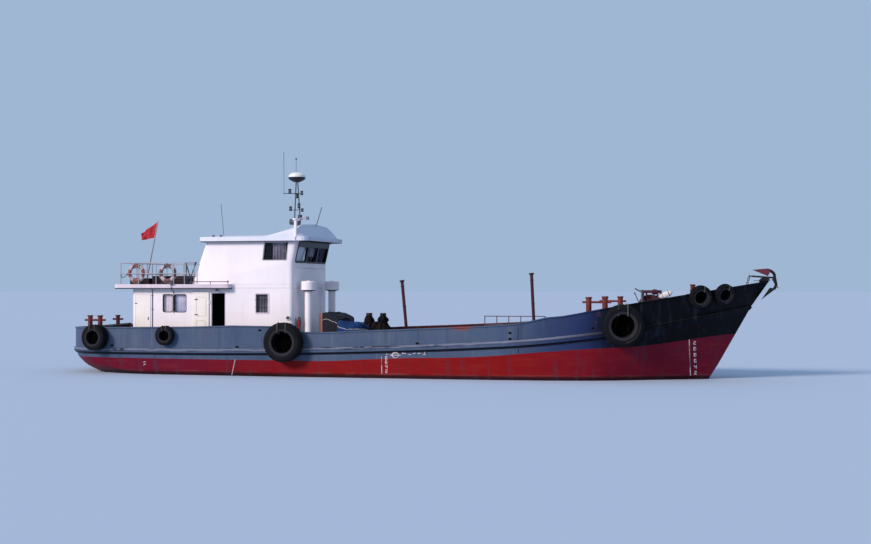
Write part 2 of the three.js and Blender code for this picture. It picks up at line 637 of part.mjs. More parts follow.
// Roof: a crowned slab with a hipped visor over the front windows, two aerials and a lamp stand
const VISOR = [
  // y, ridge height, front x
  [-2050, 5110, -3060],
  [-1900, 5250, -2900],
  [-1400, 5390, -2790],
  [0, 5460, -2750],
  [1400, 5390, -2790],
  [1900, 5250, -2900],
  [2050, 5110, -3060],
];
const VISOR_AFT = -4480;
const VISOR_RIDGE = -3250;
const VISOR_LIP = { back: 60, drop: 70, upperDrop: 30 };
const ROOF_RODS = [
  // from x, y, z, to x, y, z, radius, sides
  [-3270, -2045, 4790, -3270, -2045, 5560, 38, 8], // lamp stand
  [-3200, 0, 5380, -2980, 0, 6090, 16, 6], // forward aerial
  [-6850, 0, 4930, -6850, 0, 5080, 34, 8], // after aerial's foot
  [-6850, 0, 5050, -6970, 0, 6260, 11, 6], // after aerial
];
const rodOf = ([x0, y0, z0, x1, y1, z1, ...rest]) => rod([x0, y0, z0], [x1, y1, z1], ...rest);
const roofEdge = WHEELHOUSE.top + ROOF.edge;
const roofInset = {
  aft: ROOF.aft + ROOF.inset,
  fore: ROOF.fore - ROOF.inset,
  half: ROOF.half - ROOF.inset,
  corner: ROOF.corner,
  z: roofEdge + ROOF.crown,
};
const roofSlab = solid(
  loft([planRing({ ...ROOF, z: WHEELHOUSE.top }), planRing({ ...ROOF, z: roofEdge }), planRing(roofInset)]),
);
const visorRings = VISOR.map(([y, ridge, front]) =>
  [
    [VISOR_AFT, WHEELHOUSE.top],
    [VISOR_AFT, roofEdge],
    [VISOR_RIDGE, ridge],
    [front - VISOR_LIP.back, roofEdge - VISOR_LIP.upperDrop],
    [front, roofEdge - VISOR_LIP.drop],
    [front, WHEELHOUSE.top],
  ].map(([x, z]) => new THREE.Vector3(x, y, z)),
);
piece("wheelhouse_roof", FINISH.houseWhite, joined(roofSlab, solid(loft(visorRings)), ...ROOF_RODS.map(rodOf)));

// Helm console with its wheel
const CONSOLE = { aft: -4050, fore: -3700, half: 650, top: 4120, slopeBack: 120, slopeDown: 160 };
const WHEEL = { before: 120, z: 4020, inner: 260, rim: 300, half: 14, spoke: 12, hub: 24, hubDrop: 20 };
const wheelX = CONSOLE.aft - WHEEL.before;
const spokeReach = (WHEEL.inner + WHEEL.rim) / 2 - 10;
const wheelRim = turned(
  [[WHEEL.inner, -WHEEL.half], [WHEEL.rim, -WHEEL.half], [WHEEL.rim, WHEEL.half], [WHEEL.inner, WHEEL.half],
    [WHEEL.inner, -WHEEL.half]],
);
const consoleOutline = [
  [CONSOLE.aft, FLOOR.top + GAP],
  [CONSOLE.fore, FLOOR.top + GAP],
  [CONSOLE.fore, CONSOLE.top],
  [CONSOLE.aft + CONSOLE.slopeBack, CONSOLE.top],
  [CONSOLE.aft, CONSOLE.top - CONSOLE.slopeDown],
];
const hubZ = WHEEL.z - WHEEL.hubDrop;
piece(
  "helm_console",
  FINISH.steelDark,
  joined(
    plate(consoleOutline, -CONSOLE.half, CONSOLE.half),
    solid(pointed(wheelRim, new THREE.Vector3(wheelX, 0, WHEEL.z), new THREE.Vector3(1, 0, 0))),
    rod([wheelX - WHEEL.spoke, 0, hubZ], [CONSOLE.aft + CUT, 0, hubZ], WHEEL.hub, 8),
    rod([wheelX, -spokeReach, WHEEL.z], [wheelX, spokeReach, WHEEL.z], WHEEL.spoke, 6),
    rod([wheelX, 0, WHEEL.z - spokeReach], [wheelX, 0, WHEEL.z + spokeReach], WHEEL.spoke, 6),
  ),
);

// Cargo trunk with its coamings, hinge lugs and rail
const lidZ = TRUNK.top + HATCH.coaming + GAP + HATCH.lid / 2;
const hatchSides = [HATCH.y - HATCH.size / 2, HATCH.y + HATCH.size / 2];
const HATCH_HINGES = [HATCH.y - HATCH.hinges, HATCH.y + HATCH.hinges]; // y
const lidHinge = (x, y) => hinge([x - HATCH.axisBack, y, lidZ], [0, 1, 0]);
const trunkLap = 10; // what stands on the trunk reaches into it by this

function coaming(x) {
  const axisX = x - HATCH.axisBack;
  const lugs = HATCH_HINGES.flatMap((y) =>
    [-1, 1].map((end) => {
      const middle = y + (end * HINGE.length * 3) / 8;
      const halfLug = HINGE.length / 8 - RUN;
      const lugWidth = [middle - halfLug, middle + halfLug];
      return box([axisX - HINGE.lug, axisX + HINGE.lug], lugWidth, [TRUNK.top - trunkLap, lidZ]);
    }),
  );
  const top = TRUNK.top + HATCH.coaming;
  const walls = without(
    box([x, x + HATCH.size], hatchSides, [TRUNK.top - trunkLap, top]),
    box(
      [x + HATCH.wall, x + HATCH.size - HATCH.wall],
      [hatchSides[0] + HATCH.wall, hatchSides[1] - HATCH.wall],
      [TRUNK.top - CUT, top + CUT],
    ),
  );
  return joined(walls, ...lugs, ...HATCH_HINGES.map((y) => lidHinge(x, y).fixed));
}

function hatchLid(x) {
  const axisX = x - HATCH.axisBack;
  const reach = [x - HATCH.overlap, x + HATCH.size + HATCH.overlap];
  const width = [hatchSides[0] - HATCH.overlap, hatchSides[1] + HATCH.overlap];
  const middle = x + HATCH.size / 2;
  const leaf = box(reach, width, [lidZ - HATCH.lid / 2, lidZ + HATCH.lid / 2]);
  const tabHeights = [lidZ - HINGE.tabThick / 2, lidZ + HINGE.tabThick / 2];
  const tabs = HATCH_HINGES.map((y) =>
    box([axisX, reach[0] + HINGE.lap], [y - HINGE.tab, y + HINGE.tab], tabHeights),
  );
  const bore = boreRadius(HINGE.pin, HINGE.sides);
  const bores = HATCH_HINGES.map((y) =>
    rod([axisX, y - HINGE.bore, lidZ], [axisX, y + HINGE.bore, lidZ], bore, HINGE.sides),
  );
  const gripWidth = [HATCH.y - GRIP.width, HATCH.y + GRIP.width];
  const gripTop = lidZ + GRIP.lift + GRIP.bar;
  const grip = joined(
    box([middle - GRIP.half, middle + GRIP.half], gripWidth, [lidZ + GRIP.lift, gripTop]),
    box([middle - GRIP.half, middle - GRIP.half + GRIP.bar], gripWidth, [lidZ, gripTop]),
    box([middle + GRIP.half - GRIP.bar, middle + GRIP.half], gripWidth, [lidZ, gripTop]),
  );
  const barrels = HATCH_HINGES.map((y) => lidHinge(x, y).moving);
  return joined(without(joined(leaf, ...tabs), ...bores), grip, ...barrels);
}

const TRUNK_RAIL = { y: 520, aft: 3050, fore: 5250, top: 2100, middle: 1800, posts: 6 };
const trunkRail = [TRUNK_RAIL.top, TRUNK_RAIL.middle].map((z) =>
  rod([TRUNK_RAIL.aft - RAIL, TRUNK_RAIL.y, z], [TRUNK_RAIL.fore + RAIL, TRUNK_RAIL.y, z], RAIL, 6),
);
for (let i = 0; i < TRUNK_RAIL.posts; i++) {
  const x = mix(TRUNK_RAIL.aft, TRUNK_RAIL.fore, i / (TRUNK_RAIL.posts - 1));
  trunkRail.push(rod([x, TRUNK_RAIL.y, TRUNK.top - trunkLap], [x, TRUNK_RAIL.y, TRUNK_RAIL.top], RAIL, 6));
}
piece(
  "cargo_trunk",
  FINISH.deckRed,
  joined(seated(slab(TRUNK, TRUNK.foot, TRUNK.top)), ...HATCHES.map(coaming), ...trunkRail),
);
HATCHES.forEach((x, i) => piece("hatch_lid_" + (i + 1), FINISH.deckRed, hatchLid(x)));

// Tank vent line: two raked posts on flanges, with the pipe that joins them
const VENT_POSTS = [
  // foot x, head x, head z
  [280, 90, 3400],
  [4970, 4860, 3650],
];
const VENT = { radius: 85, cap: 105, capDepth: 70, flange: 170, flangeDepth: 30, pipe: 60, pipeZ: 1590 };
const overTrunk = TRUNK.top + GAP;
const belowTrunkTop = box(ANY, ANY, [0, overTrunk]);
const ventPosts = VENT_POSTS.flatMap(([foot, head, top]) => {
  const way = new THREE.Vector3(head - foot, 0, top - TRUNK.top).normalize();
  const under = new THREE.Vector3(head, 0, top).addScaledVector(way, -VENT.capDepth);
  return [
    without(rod([foot, 0, TRUNK.top - SEAT_LAP], [head, 0, top], VENT.radius, 10), belowTrunkTop),
    rod([foot, 0, overTrunk], [foot, 0, TRUNK.top + VENT.flangeDepth], VENT.flange, 12),
    rod(under.toArray(), [head, 0, top], VENT.cap, 10),
  ];
});
piece(
  "tank_vent_line",
  FINISH.bittRed,
  joined(...ventPosts, rod([VENT_POSTS[0][0], 0, VENT.pipeZ], [VENT_POSTS[1][0], 0, VENT.pipeZ], VENT.pipe, 8)),
);

// Cargo pump: a casing and a motor on one bed, with two upright heads
const PUMP = { x: -630, y: -800, axisZ: 1370, casing: 170, casingHalf: 390 };
const PUMP_BED = { half: 350, breadth: 240, low: 900, high: 1150 };
const PUMP_FOOT = { half: 150, breadth: 130, low: 1100, high: 1500 };
const PUMP_HEAD = { top: 2220, pipe: 70, cap: 110, capDepth: 200, offsets: [-270, 250] };
const pumpBlock = ({ half: reach, breadth, low, high }) =>
  box([PUMP.x - reach, PUMP.x + reach], [PUMP.y - breadth, PUMP.y + breadth], [low, high]);
const pumpHeads = PUMP_HEAD.offsets.flatMap((offset) => {
  const at = (z) => [PUMP.x + offset, PUMP.y, z];
  return [
    rod(at(PUMP.axisZ), at(PUMP_HEAD.top), PUMP_HEAD.pipe, 10),
    rod(at(PUMP_HEAD.top - PUMP_HEAD.capDepth), at(PUMP_HEAD.top), PUMP_HEAD.cap, 10),
  ];
});
const casing = rod(
  [PUMP.x - PUMP.casingHalf, PUMP.y, PUMP.axisZ],
  [PUMP.x + PUMP.casingHalf, PUMP.y, PUMP.axisZ],
  PUMP.casing,
  14,
);
const pump = joined(pumpBlock(PUMP_BED), pumpBlock(PUMP_FOOT), casing, ...pumpHeads);
piece("cargo_pump", FINISH.steelDark, seated(pump));

// Covered heaps on deck
const HEAP_CORNER = 150;
// height, size
const DARK_RINGS = [[900, 1], [1500, 0.96], [2000, 0.8], [2260, 0.4]];
const BLUE_RINGS = [[900, 1], [1600, 0.95], [1860, 0.8], [1990, 0.45]];
const HEAPS = [
  // name, finish, aft, fore, y of the middle, half-breadth, rings
  ["tarpaulin_dark", FINISH.tarpDark, -2790, -1080, -450, 760, DARK_RINGS],
  ["tarpaulin_blue", FINISH.tarpBlue, -1900, -100, -1780, 460, BLUE_RINGS],
];
for (const [name, finish, aft, fore, y, halfBreadth, rings] of HEAPS) {
  const middle = (aft + fore) / 2;
  const skins = rings.map(([z, size]) => {
    const reach = ((fore - aft) / 2) * size;
    const [from, to] = [middle - reach, middle + reach];
    return planRing({ aft: from, fore: to, half: halfBreadth * size, corner: HEAP_CORNER, z, y });
  });
  piece(name, finish, seated(solid(loft(skins))));
}

// Mushroom vents before the house: a straight pipe under a flat cap with a straight skirt
const COWL = { x: -3030, y: 1300, foot: 800, pipe: 135, cap: 275, low: 3040, high: 3360 };
const COWL_EDGE = { skirt: 70, wall: 12, round: 30 };
const cowlProfile = [
  [0, COWL.low + COWL_EDGE.skirt], [COWL.cap - COWL_EDGE.wall, COWL.low + COWL_EDGE.skirt],
  [COWL.cap - COWL_EDGE.wall, COWL.low], [COWL.cap, COWL.low], [COWL.cap, COWL.high - COWL_EDGE.round],
  [COWL.cap - COWL_EDGE.round, COWL.high], [0, COWL.high],
];
for (const [hand, side] of Object.entries(SIDES)) {
  const at = (z) => [COWL.x, side * COWL.y, z];
  const pipe = seated(rod(at(COWL.foot), at(COWL.low + COWL_EDGE.skirt + CUT), COWL.pipe, 14));
  const cap = turned(cowlProfile).translate(...at(0));
  piece("vent_" + hand, FINISH.houseWhite, joined(pipe, solid(cap)));
}

// Mast: a short post with two poles that draw together under the radome, yards, whips, searchlight and lamps
const MAST = { x: -3950, foot: 5150, postTop: 5600, head: 7050, seat: 7060 };
const MAST_RODS = [
  // from x, y, z, to x, y, z, radius, sides
  [-3890, 0, MAST.foot, -3890, 0, MAST.postTop, 60, 10], // post
  [-4060, 0, 5480, -3800, 0, 5480, 26, 6], // step
  [-4050, 0, 5460, -3980, 0, MAST.head, 22, 6], // aft pole
  [-3810, 0, 5460, -3920, 0, MAST.head, 22, 6], // fore pole
  [-4480, 0, 6610, -3740, 0, 6610, 16, 6], // upper yard
  [-4240, 0, 6000, -3720, 0, 6000, 16, 6], // lower yard
  [-4455, 0, 6600, -4470, 0, 8150, 8, 6], // tall whip
  [-4120, 0, 6610, -4120, 370, 6610, 14, 6], // side arm
  [-4120, 370, 6590, -4120, 370, 7900, 8, 6], // side whip
  [-4120, 0, 5560, -4010, 0, 5480, 18, 6], // searchlight bracket
  [-4210, 0, 5560, -4040, 0, 5560, 110, 12], // searchlight
  [MAST.x, 0, MAST.head - 20, MAST.x, 0, MAST.seat, 140, 12], // radome seat
];
const WHIP_BALL = { at: [-4120, 370, 7920], radius: 40 };
const LAMPS = [
  // x, height, radius, length
  [-4230, 6690, 52, 170],
  [-3760, 6620, 45, 150],
  [-3960, 6520, 50, 170],
  [-4200, 6050, 50, 160],
  [-3870, 6150, 50, 170],
  [-3740, 5990, 42, 120],
  [-3830, 5740, 85, 150],
];
const mastParts = [
  ...MAST_RODS.map(rodOf),
  ...LAMPS.map(([x, z, radius, length]) => rod([x, 0, z - length / 2], [x, 0, z + length / 2], radius, 8)),
  solid(new THREE.IcosahedronGeometry(WHIP_BALL.radius, 0).translate(...WHIP_BALL.at)),
];
const roofClear = shifted(solid(loft(visorRings)), new THREE.Vector3(0, 0, GAP));
piece("mast", FINISH.steelDark, without(joined(...mastParts), roofClear));
const RADOME = [
  // radius, height over its seat
  [0, 0], [190, 0], [300, 70], [315, 130], [300, 230], [200, 310], [0, 330],
];
piece("radome", FINISH.houseWhite, solid(turned(RADOME, 24).translate(MAST.x, 0, MAST.seat + GAP)));

// Platform rail round three sides, with the lifebuoys inside it
const PLATFORM_RAIL = { aft: -10090, fore: -7150, half: 1950, heights: [3640, 4030], endPosts: 650 };
const railParts = PLATFORM_RAIL.heights.flatMap((z) => {
  const { aft, fore, half: out } = PLATFORM_RAIL;
  return [
    rod([aft - RAIL, -out, z], [fore, -out, z], RAIL, 6),
    rod([aft - RAIL, out, z], [fore, out, z], RAIL, 6),
    rod([aft, -out, z], [aft, out, z], RAIL, 6),
  ];
});
const RAIL_POSTS = [-10090, -9380, -8680, -7980, -7560, -7180];
const railHead = PLATFORM_RAIL.heights.at(-1);
const railPost = (x, y) => rod([x, y, FLOOR.top + GAP], [x, y, railHead], RAIL, 6);
for (const side of Object.values(SIDES)) {
  RAIL_POSTS.forEach((x) => railParts.push(railPost(x, side * PLATFORM_RAIL.half)));
}
[-1, 1].forEach((end) => railParts.push(railPost(PLATFORM_RAIL.aft, end * PLATFORM_RAIL.endPosts)));
piece("platform_rail", FINISH.railGrey, joined(...railParts));

const BUOY = { ring: 270, tube: 68, z: 3660, x: [-9500, -8250] };
const buoyHalf = BUOY.tube * Math.sin(Math.PI / 3);
const buoySection = Array.from({ length: 7 }, (_, i) => {
  const angle = (i * Math.PI) / 3;
  return [BUOY.ring + BUOY.tube * Math.cos(angle), BUOY.tube * Math.sin(angle)];
});
const abeam = new THREE.Vector3(0, 1, 0);
BUOY.x.forEach((x, i) => {
  const y = -PLATFORM_RAIL.half + RAIL + GAP + buoyHalf;
  const at = new THREE.Vector3(x, y, BUOY.z);
  piece("lifebuoy_" + (i + 1), FINISH.buoyOrange, solid(pointed(turned(buoySection, 18), at, abeam)));
});

// Flagstaff in its socket, and the flag
const STAFF = { foot: [-10030, 0, 3240], head: [-9540, 0, 5650], radius: 20 };
const STAFF_SOCKET = { radius: 42, height: 160, lean: 25 };
const FLAG = { half: 6, outline: [[-9560, 5560], [-9690, 4930], [-10140, 4850], [-10210, 5150]] };
const [staffX] = STAFF.foot;
const belowPlatform = box(ANY, ANY, [0, FLOOR.top + GAP]);
const socketHead = [staffX + STAFF_SOCKET.lean, 0, FLOOR.top + STAFF_SOCKET.height];
const socket = rod([staffX, 0, FLOOR.top - STAFF.radius], socketHead, STAFF_SOCKET.radius, 8);
const staff = without(joined(rod(STAFF.foot, STAFF.head, STAFF.radius, 8), socket), belowPlatform);
piece("flagstaff", FINISH.bittRed, staff);
const flagHem = rod(STAFF.foot, STAFF.head, STAFF.radius + 2 * GAP, 8);
piece("flag", FINISH.flagRed, without(plate(FLAG.outline, -FLAG.half, FLAG.half), flagHem));

// Bitts: name, the posts' x, y, top, radius, the crossbar's height below the top
const BITTS = [
  ["stern_bitts_starboard", [-11200, -10800], -2180, 2110, 85, 170],
  ["stern_bitts_port", [-11200, -10800], 2180, 2110, 85, 170],
  ["fore_bitts_starboard", [7200, 7750], -1960, 2900, 95, 170],
  ["fore_bitts_port", [7200, 7750], 1960, 2900, 95, 170],
  ["centre_bitt", [-11200], 0, 2080, 75, 150],
  ["bow_bitt", [10500], 0, 3050, 80, 170],
];
const BITT = { capDepth: 45, capLift: 5, capOut: 22, barOut: 210, bar: 42 };
for (const [name, posts, y, top, radius, drop] of BITTS) {
  const uprights = posts.flatMap((x) => [
    seated(rod([x, y, deckHeight(x) - SEAT_LAP], [x, y, top], radius, 10)),
    rod([x, y, top - BITT.capDepth], [x, y, top + BITT.capLift], radius + BITT.capOut, 10),
  ]);
  const barZ = top - drop;
  const bar = rod([posts[0] - BITT.barOut, y, barZ], [posts.at(-1) + BITT.barOut, y, barZ], BITT.bar, 6);
  piece(name, FINISH.bittRed, joined(...uprights, bar));
}

// Windlass: a frame of two side plates, and the drum that turns in them
const WINDLASS = { x: 9050, z: 2520, shaft: 45, plate: 430, thick: 30, half: 350, rim: 30, end: 620 };
const DRUM = { radius: 190, flange: 320 };
const WINDLASS_PLATE = [[8650, 1500], [9500, 1500], [9190, 2660], [8910, 2660]];
const WINDLASS_TIE = { at: [[8760, 1960], [9390, 1960]], radius: 32, lap: 10 };
const BRAKE = { out: 15, low: [8880, 2200], high: [8560, 2950], lever: 18 };
const HANDLE = { radius: 22, outboard: 120, inboard: 60 };
const WARPING = { inner: 480, radius: 120 };
const windlassBore = boreRadius(WINDLASS.shaft, 16);
const sidePlates = Object.values(SIDES).map((side) => {
  const [from, to] = [side * WINDLASS.plate, side * (WINDLASS.plate + WINDLASS.thick)].sort((a, b) => a - b);
  return plate(WINDLASS_PLATE, from, to);
});
const tieReach = WINDLASS.plate + WINDLASS_TIE.lap;
const frameTies = WINDLASS_TIE.at.map(([x, z]) =>
  rod([x, -tieReach, z], [x, tieReach, z], WINDLASS_TIE.radius, 8),
);
const brakeY = -WINDLASS.plate - BRAKE.out;
const onBrake = ([x, z], out = 0) => [x, brakeY + out, z];
const brake = joined(
  rod(onBrake(BRAKE.low), onBrake(BRAKE.high), BRAKE.lever, 6),
  rod(onBrake(BRAKE.high, -HANDLE.outboard), onBrake(BRAKE.high, HANDLE.inboard), HANDLE.radius, 6),
);
const onShaftOfDrum = (y) => [WINDLASS.x, y, WINDLASS.z];
const shaftBore = rod(onShaftOfDrum(-WINDLASS.end), onShaftOfDrum(WINDLASS.end), windlassBore, 16);
piece(
  "windlass_frame",
  FINISH.steelDark,
  without(seated(joined(...sidePlates, ...frameTies, brake)), shaftBore),
);
const flangeOut = WINDLASS.half + WINDLASS.rim;
const drumProfile = [
  [0, -WINDLASS.end], [WINDLASS.shaft, -WINDLASS.end], [WINDLASS.shaft, -flangeOut],
  [DRUM.flange, -flangeOut], [DRUM.flange, -WINDLASS.half], [DRUM.radius, -WINDLASS.half],
  [DRUM.radius, WINDLASS.half], [DRUM.flange, WINDLASS.half], [DRUM.flange, flangeOut],
  [WINDLASS.shaft, flangeOut], [WINDLASS.shaft, WINDLASS.end], [0, WINDLASS.end],
];
const warpingEnd = (side) =>
  rod(onShaftOfDrum(side * WARPING.inner), onShaftOfDrum(side * WINDLASS.end), WARPING.radius, 16);
const drumAt = new THREE.Vector3(WINDLASS.x, 0, WINDLASS.z);
piece(
  "windlass_drum",
  FINISH.bittRed,
  joined(solid(pointed(turned(drumProfile, 14), drumAt, abeam)), warpingEnd(-1), warpingEnd(1)),
);

// Rudder with its stock and heel pin
const RUDDER_EDGES = { fore: -11850, aftTop: -12400, aftBottom: -12500 };
const rudderBlade = plate(
  [
    [RUDDER_EDGES.fore, RUDDER.top],
    [RUDDER_EDGES.aftTop, RUDDER.top],
    [RUDDER_EDGES.aftBottom, RUDDER.bottom],
    [RUDDER_EDGES.fore, RUDDER.bottom],
  ],
  -RUDDER.half,
  RUDDER.half,
);
piece(
  "rudder",
  FINISH.bottomRed,
  joined(
    rudderBlade,
    rod(atRudder(RUDDER.bottom), atRudder(RUDDER.boreTop - CUT), RUDDER.stock, RUDDER.sides),
    rod(
      atRudder(KEEL.bottom + HEEL_PIN.lap),
      atRudder(RUDDER.bottom + HEEL_PIN.lap),
      HEEL_PIN.radius,
      HEEL_PIN.sides,
    ),
  ),
);

// Propeller: hub, shaft end and twisted blades
const BLADE = [
  // radius, chord, thickness, pitch angle in degrees
  [70, 140, 34, 58],
  [240, 250, 20, 34],
  [360, 190, 12, 25],
  [PROPELLER.radius, 90, 8, 22],
];
function blade(turn) {
  const rings = BLADE.map(([radius, chord, thick, pitch]) => {
    const section = [[-0.5, 0], [-0.25, -0.5], [0.25, -0.5], [0.5, 0], [0.25, 0.5], [-0.25, 0.5]];
    const angle = THREE.MathUtils.degToRad(pitch);
    return section.map(([u, v]) => {
      const [a, b] = [u * chord, v * thick];
      const aft = a * Math.sin(angle) + b * Math.cos(angle);
      const side = a * Math.cos(angle) - b * Math.sin(angle);
      return new THREE.Vector3(aft, side, radius);
    });
  });
  const geometry = loft(rings).rotateX(turn);
  return solid(geometry.translate(PROPELLER.x, 0, SHAFT.z));
}
const blades = Array.from({ length: PROPELLER.blades }, (_, i) => blade((i / PROPELLER.blades) * Math.PI * 2));
piece(
  "propeller",
  FINISH.bronze,
  joined(
    rod(onShaft(PROPELLER.x - PROPELLER.hubHalf), onShaft(PROPELLER.x + PROPELLER.hubHalf), PROPELLER.hub, 16),
    rod(onShaft(PROPELLER.x), onShaft(SHAFT.boreEnd - CUT), SHAFT.radius, SHAFT.sides),
    ...blades,
  ),
);

// Tyre fenders against the side: name, x, z, outer diameter, width, how many side by side, hand, how far out
// from the bulwark's plate they rest
const CAP_OUT = (BULWARK.capWidth - BULWARK.thick) / 2;
// Shares of a tyre's radius and width: where its bead, its widest wall and its tread's shoulder lie, and how
// far apart two tyres are that hang together
const TYRE = { bead: 0.55, beadHalf: 0.36, wall: 0.86, treadHalf: 0.3, pitch: 0.94, sides: 18 };
const FENDERS = [
  ["tyre_quarter_starboard", -10700, 1320, 930, 200, 2, -1, CAP_OUT],
  ["tyre_aft_starboard", -7950, 1410, 700, 190, 1, -1, CAP_OUT],
  ["tyre_waist_starboard", -3370, 1220, 1380, 430, 1, -1, STRAKE_OUT],
  ["tyre_shoulder_starboard", 8350, 1870, 1400, 430, 1, -1, STRAKE_OUT - 8],
  ["tyre_bow_starboard", 10790, 2780, 660, 180, 1, -1, CAP_OUT + 6],
  ["tyre_stem_starboard", 11580, 2890, 620, 170, 1, -1, CAP_OUT + 6],
  ["tyre_quarter_port", -10700, 1320, 930, 200, 2, 1, CAP_OUT],
  ["tyre_waist_port", -3370, 1220, 1380, 430, 1, 1, STRAKE_OUT],
  ["tyre_shoulder_port", 8350, 1870, 1400, 430, 1, 1, STRAKE_OUT - 8],
];

// The place on the bulwark's outside at an x and a height, and the way it faces, port side.
function sideAt(x, z) {
  let key = x;
  let found = {};
  for (let tries = 0; tries < 5; tries++) {
    const { foot, head, out } = edgeAt(key);
    const up = head.clone().sub(foot);
    const surface = foot.clone().addScaledVector(up, THREE.MathUtils.clamp((z - foot.z) / up.z, 0, 1));
    const normal = new THREE.Vector3().crossVectors(up, new THREE.Vector3(out.y, -out.x, 0)).normalize();
    if (normal.dot(out) < 0) normal.negate();
    found = { surface, normal };
    key += x - surface.x;
  }
  return found;
}

for (const [name, x, z, diameter, width, count, side, standOff] of FENDERS) {
  const { surface, normal } = sideAt(x, z);
  const facing = new THREE.Vector3(normal.x, normal.y * side, normal.z);
  const radius = diameter / 2;
  const bead = [radius * TYRE.bead, width * TYRE.beadHalf];
  const wall = [radius * TYRE.wall, width / 2];
  const shoulder = width * TYRE.treadHalf;
  const section = [
    [bead[0], -bead[1]], [wall[0], -wall[1]], [radius, -shoulder],
    [radius, shoulder], wall, bead, [bead[0], -bead[1]],
  ];
  const tyres = Array.from({ length: count }, (_, i) => {
    const at = moved(surface, normal, standOff + width * (0.5 + i * TYRE.pitch));
    at.z = z;
    at.y *= side;
    return solid(pointed(turned(section, TYRE.sides), at, facing));
  });
  const hand = side < 0 ? "starboard" : "port";
  const behind = [-GAP, GAP].flatMap((lift) => {
    const clear = facing.clone().multiplyScalar(2 * GAP);
    clear.z += lift;
    return [hull, bulwarks[hand]].map((body) => shifted(body, clear));
  });
  piece(name, FINISH.rubber, without(joined(...tyres), ...behind));
}

export default boat;
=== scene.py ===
"""Dresses the waste oil collection boat: paint, fittings, deck gear, studio and camera."""

import logging
import math
from collections.abc import Callable, Iterable, Sequence
from dataclasses import dataclass, field, replace
from enum import Enum

import bmesh
import bpy
from mathutils import Matrix, Vector, noise
from mathutils.bvhtree import BVHTree


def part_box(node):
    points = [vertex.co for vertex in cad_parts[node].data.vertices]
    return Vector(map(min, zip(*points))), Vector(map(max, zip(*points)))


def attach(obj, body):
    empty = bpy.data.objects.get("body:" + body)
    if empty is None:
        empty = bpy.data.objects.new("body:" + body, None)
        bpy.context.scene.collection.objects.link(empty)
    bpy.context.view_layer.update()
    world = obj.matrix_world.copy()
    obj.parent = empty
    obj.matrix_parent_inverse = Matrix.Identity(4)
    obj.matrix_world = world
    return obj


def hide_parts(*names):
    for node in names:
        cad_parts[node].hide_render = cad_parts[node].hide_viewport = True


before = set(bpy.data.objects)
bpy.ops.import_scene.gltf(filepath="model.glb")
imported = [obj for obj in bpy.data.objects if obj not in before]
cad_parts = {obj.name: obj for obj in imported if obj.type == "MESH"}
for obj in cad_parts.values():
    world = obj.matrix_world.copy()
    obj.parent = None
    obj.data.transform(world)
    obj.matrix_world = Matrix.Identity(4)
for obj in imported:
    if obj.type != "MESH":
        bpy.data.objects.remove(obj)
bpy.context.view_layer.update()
log = logging.getLogger("boat")

Socket = bpy.types.NodeSocket
Piece = bpy.types.Object
Place = tuple[float, float, float]
UP = Vector((0, 0, 1))


class Hand(Enum):
    """The two hands of the boat, each with its sign of y."""

    STARBOARD = -1
    PORT = 1

    @property
    def word(self) -> str:
        """The hand's name as the frame's nodes spell it."""
        return self.name.lower()


def tint(code: str) -> tuple[float, float, float, float]:
    """Turns a six-figure colour code into Blender's linear colour."""
    parts = [int(code[i : i + 2], 16) / 255 for i in (0, 2, 4)]
    return (*[p / 12.92 if p <= 0.04045 else ((p + 0.055) / 1.055) ** 2.4 for p in parts], 1.0)


class Bench:
    """Lays out the nodes of one tree."""

    def __init__(self, tree: bpy.types.NodeTree) -> None:
        """Takes the tree that the nodes go into."""
        self.tree = tree

    def add(self, kind: str, inputs: dict | None = None, **settings: object) -> bpy.types.Node:
        """Adds a node, with its settings and its inputs.

        Args:
            kind: Blender's type name of the node.
            inputs: Input name or number to a value or to the socket that feeds it.
            settings: The node's own properties.

        Returns:
            The node.
        """
        node = self.tree.nodes.new(kind)
        for key, value in settings.items():
            setattr(node, key, value)
        for key, value in (inputs or {}).items():
            if isinstance(value, Socket):
                self.tree.links.new(value, node.inputs[key])
            else:
                node.inputs[key].default_value = value
        return node

    def place(self) -> Socket:
        """The object's own coordinates."""
        return self.add("ShaderNodeTexCoord").outputs["Object"]

    def maths(self, operation: str, a: Socket | float, b: Socket | float = 0.0) -> Socket:
        """One sum of two numbers."""
        return self.add("ShaderNodeMath", {0: a, 1: b}, operation=operation).outputs[0]

    def times(self, a: Socket | float, b: Socket | float) -> Socket:
        """One number times another."""
        return self.maths("MULTIPLY", a, b)

    def plus(self, a: Socket | float, b: Socket | float) -> Socket:
        """One number and another."""
        return self.maths("ADD", a, b)

    def mix(self, share: Socket | float, low: object, high: object) -> Socket:
        """A colour between two colours."""
        return self.add("ShaderNodeMix", {0: share, 6: low, 7: high}, data_type="RGBA").outputs[2]

    def wash(self, where: Socket, strength: float, under: object, code: str) -> Socket:
        """A colour laid thinly over another where a pattern says."""
        return self.mix(self.times(where, strength), under, tint(code))

    def step(self, value: Socket, low: float, high: float) -> Socket:
        """Rises smoothly from 0 at low to 1 at high."""
        inputs = {"Value": value, "From Min": low, "From Max": high}
        return self.add("ShaderNodeMapRange", inputs, interpolation_type="SMOOTHSTEP").outputs[0]

    def cloud(self, scale: float, stretch: Place = (1, 1, 1), detail: float = 5, rough: float = 0.6) -> Socket:
        """Noise over the object's own coordinates.

        Args:
            scale: Spots in a metre.
            stretch: How the pattern is squeezed along x, y and z.
            detail: Octaves of noise.
            rough: How strong the finer octaves are.

        Returns:
            The noise, about 0.5 in the middle.
        """
        turned = self.add("ShaderNodeMapping", {"Vector": self.place(), "Scale": stretch}).outputs[0]
        inputs = {"Vector": turned, "Scale": scale, "Detail": detail, "Roughness": rough}
        return self.add("ShaderNodeTexNoise", inputs).outputs["Fac"]


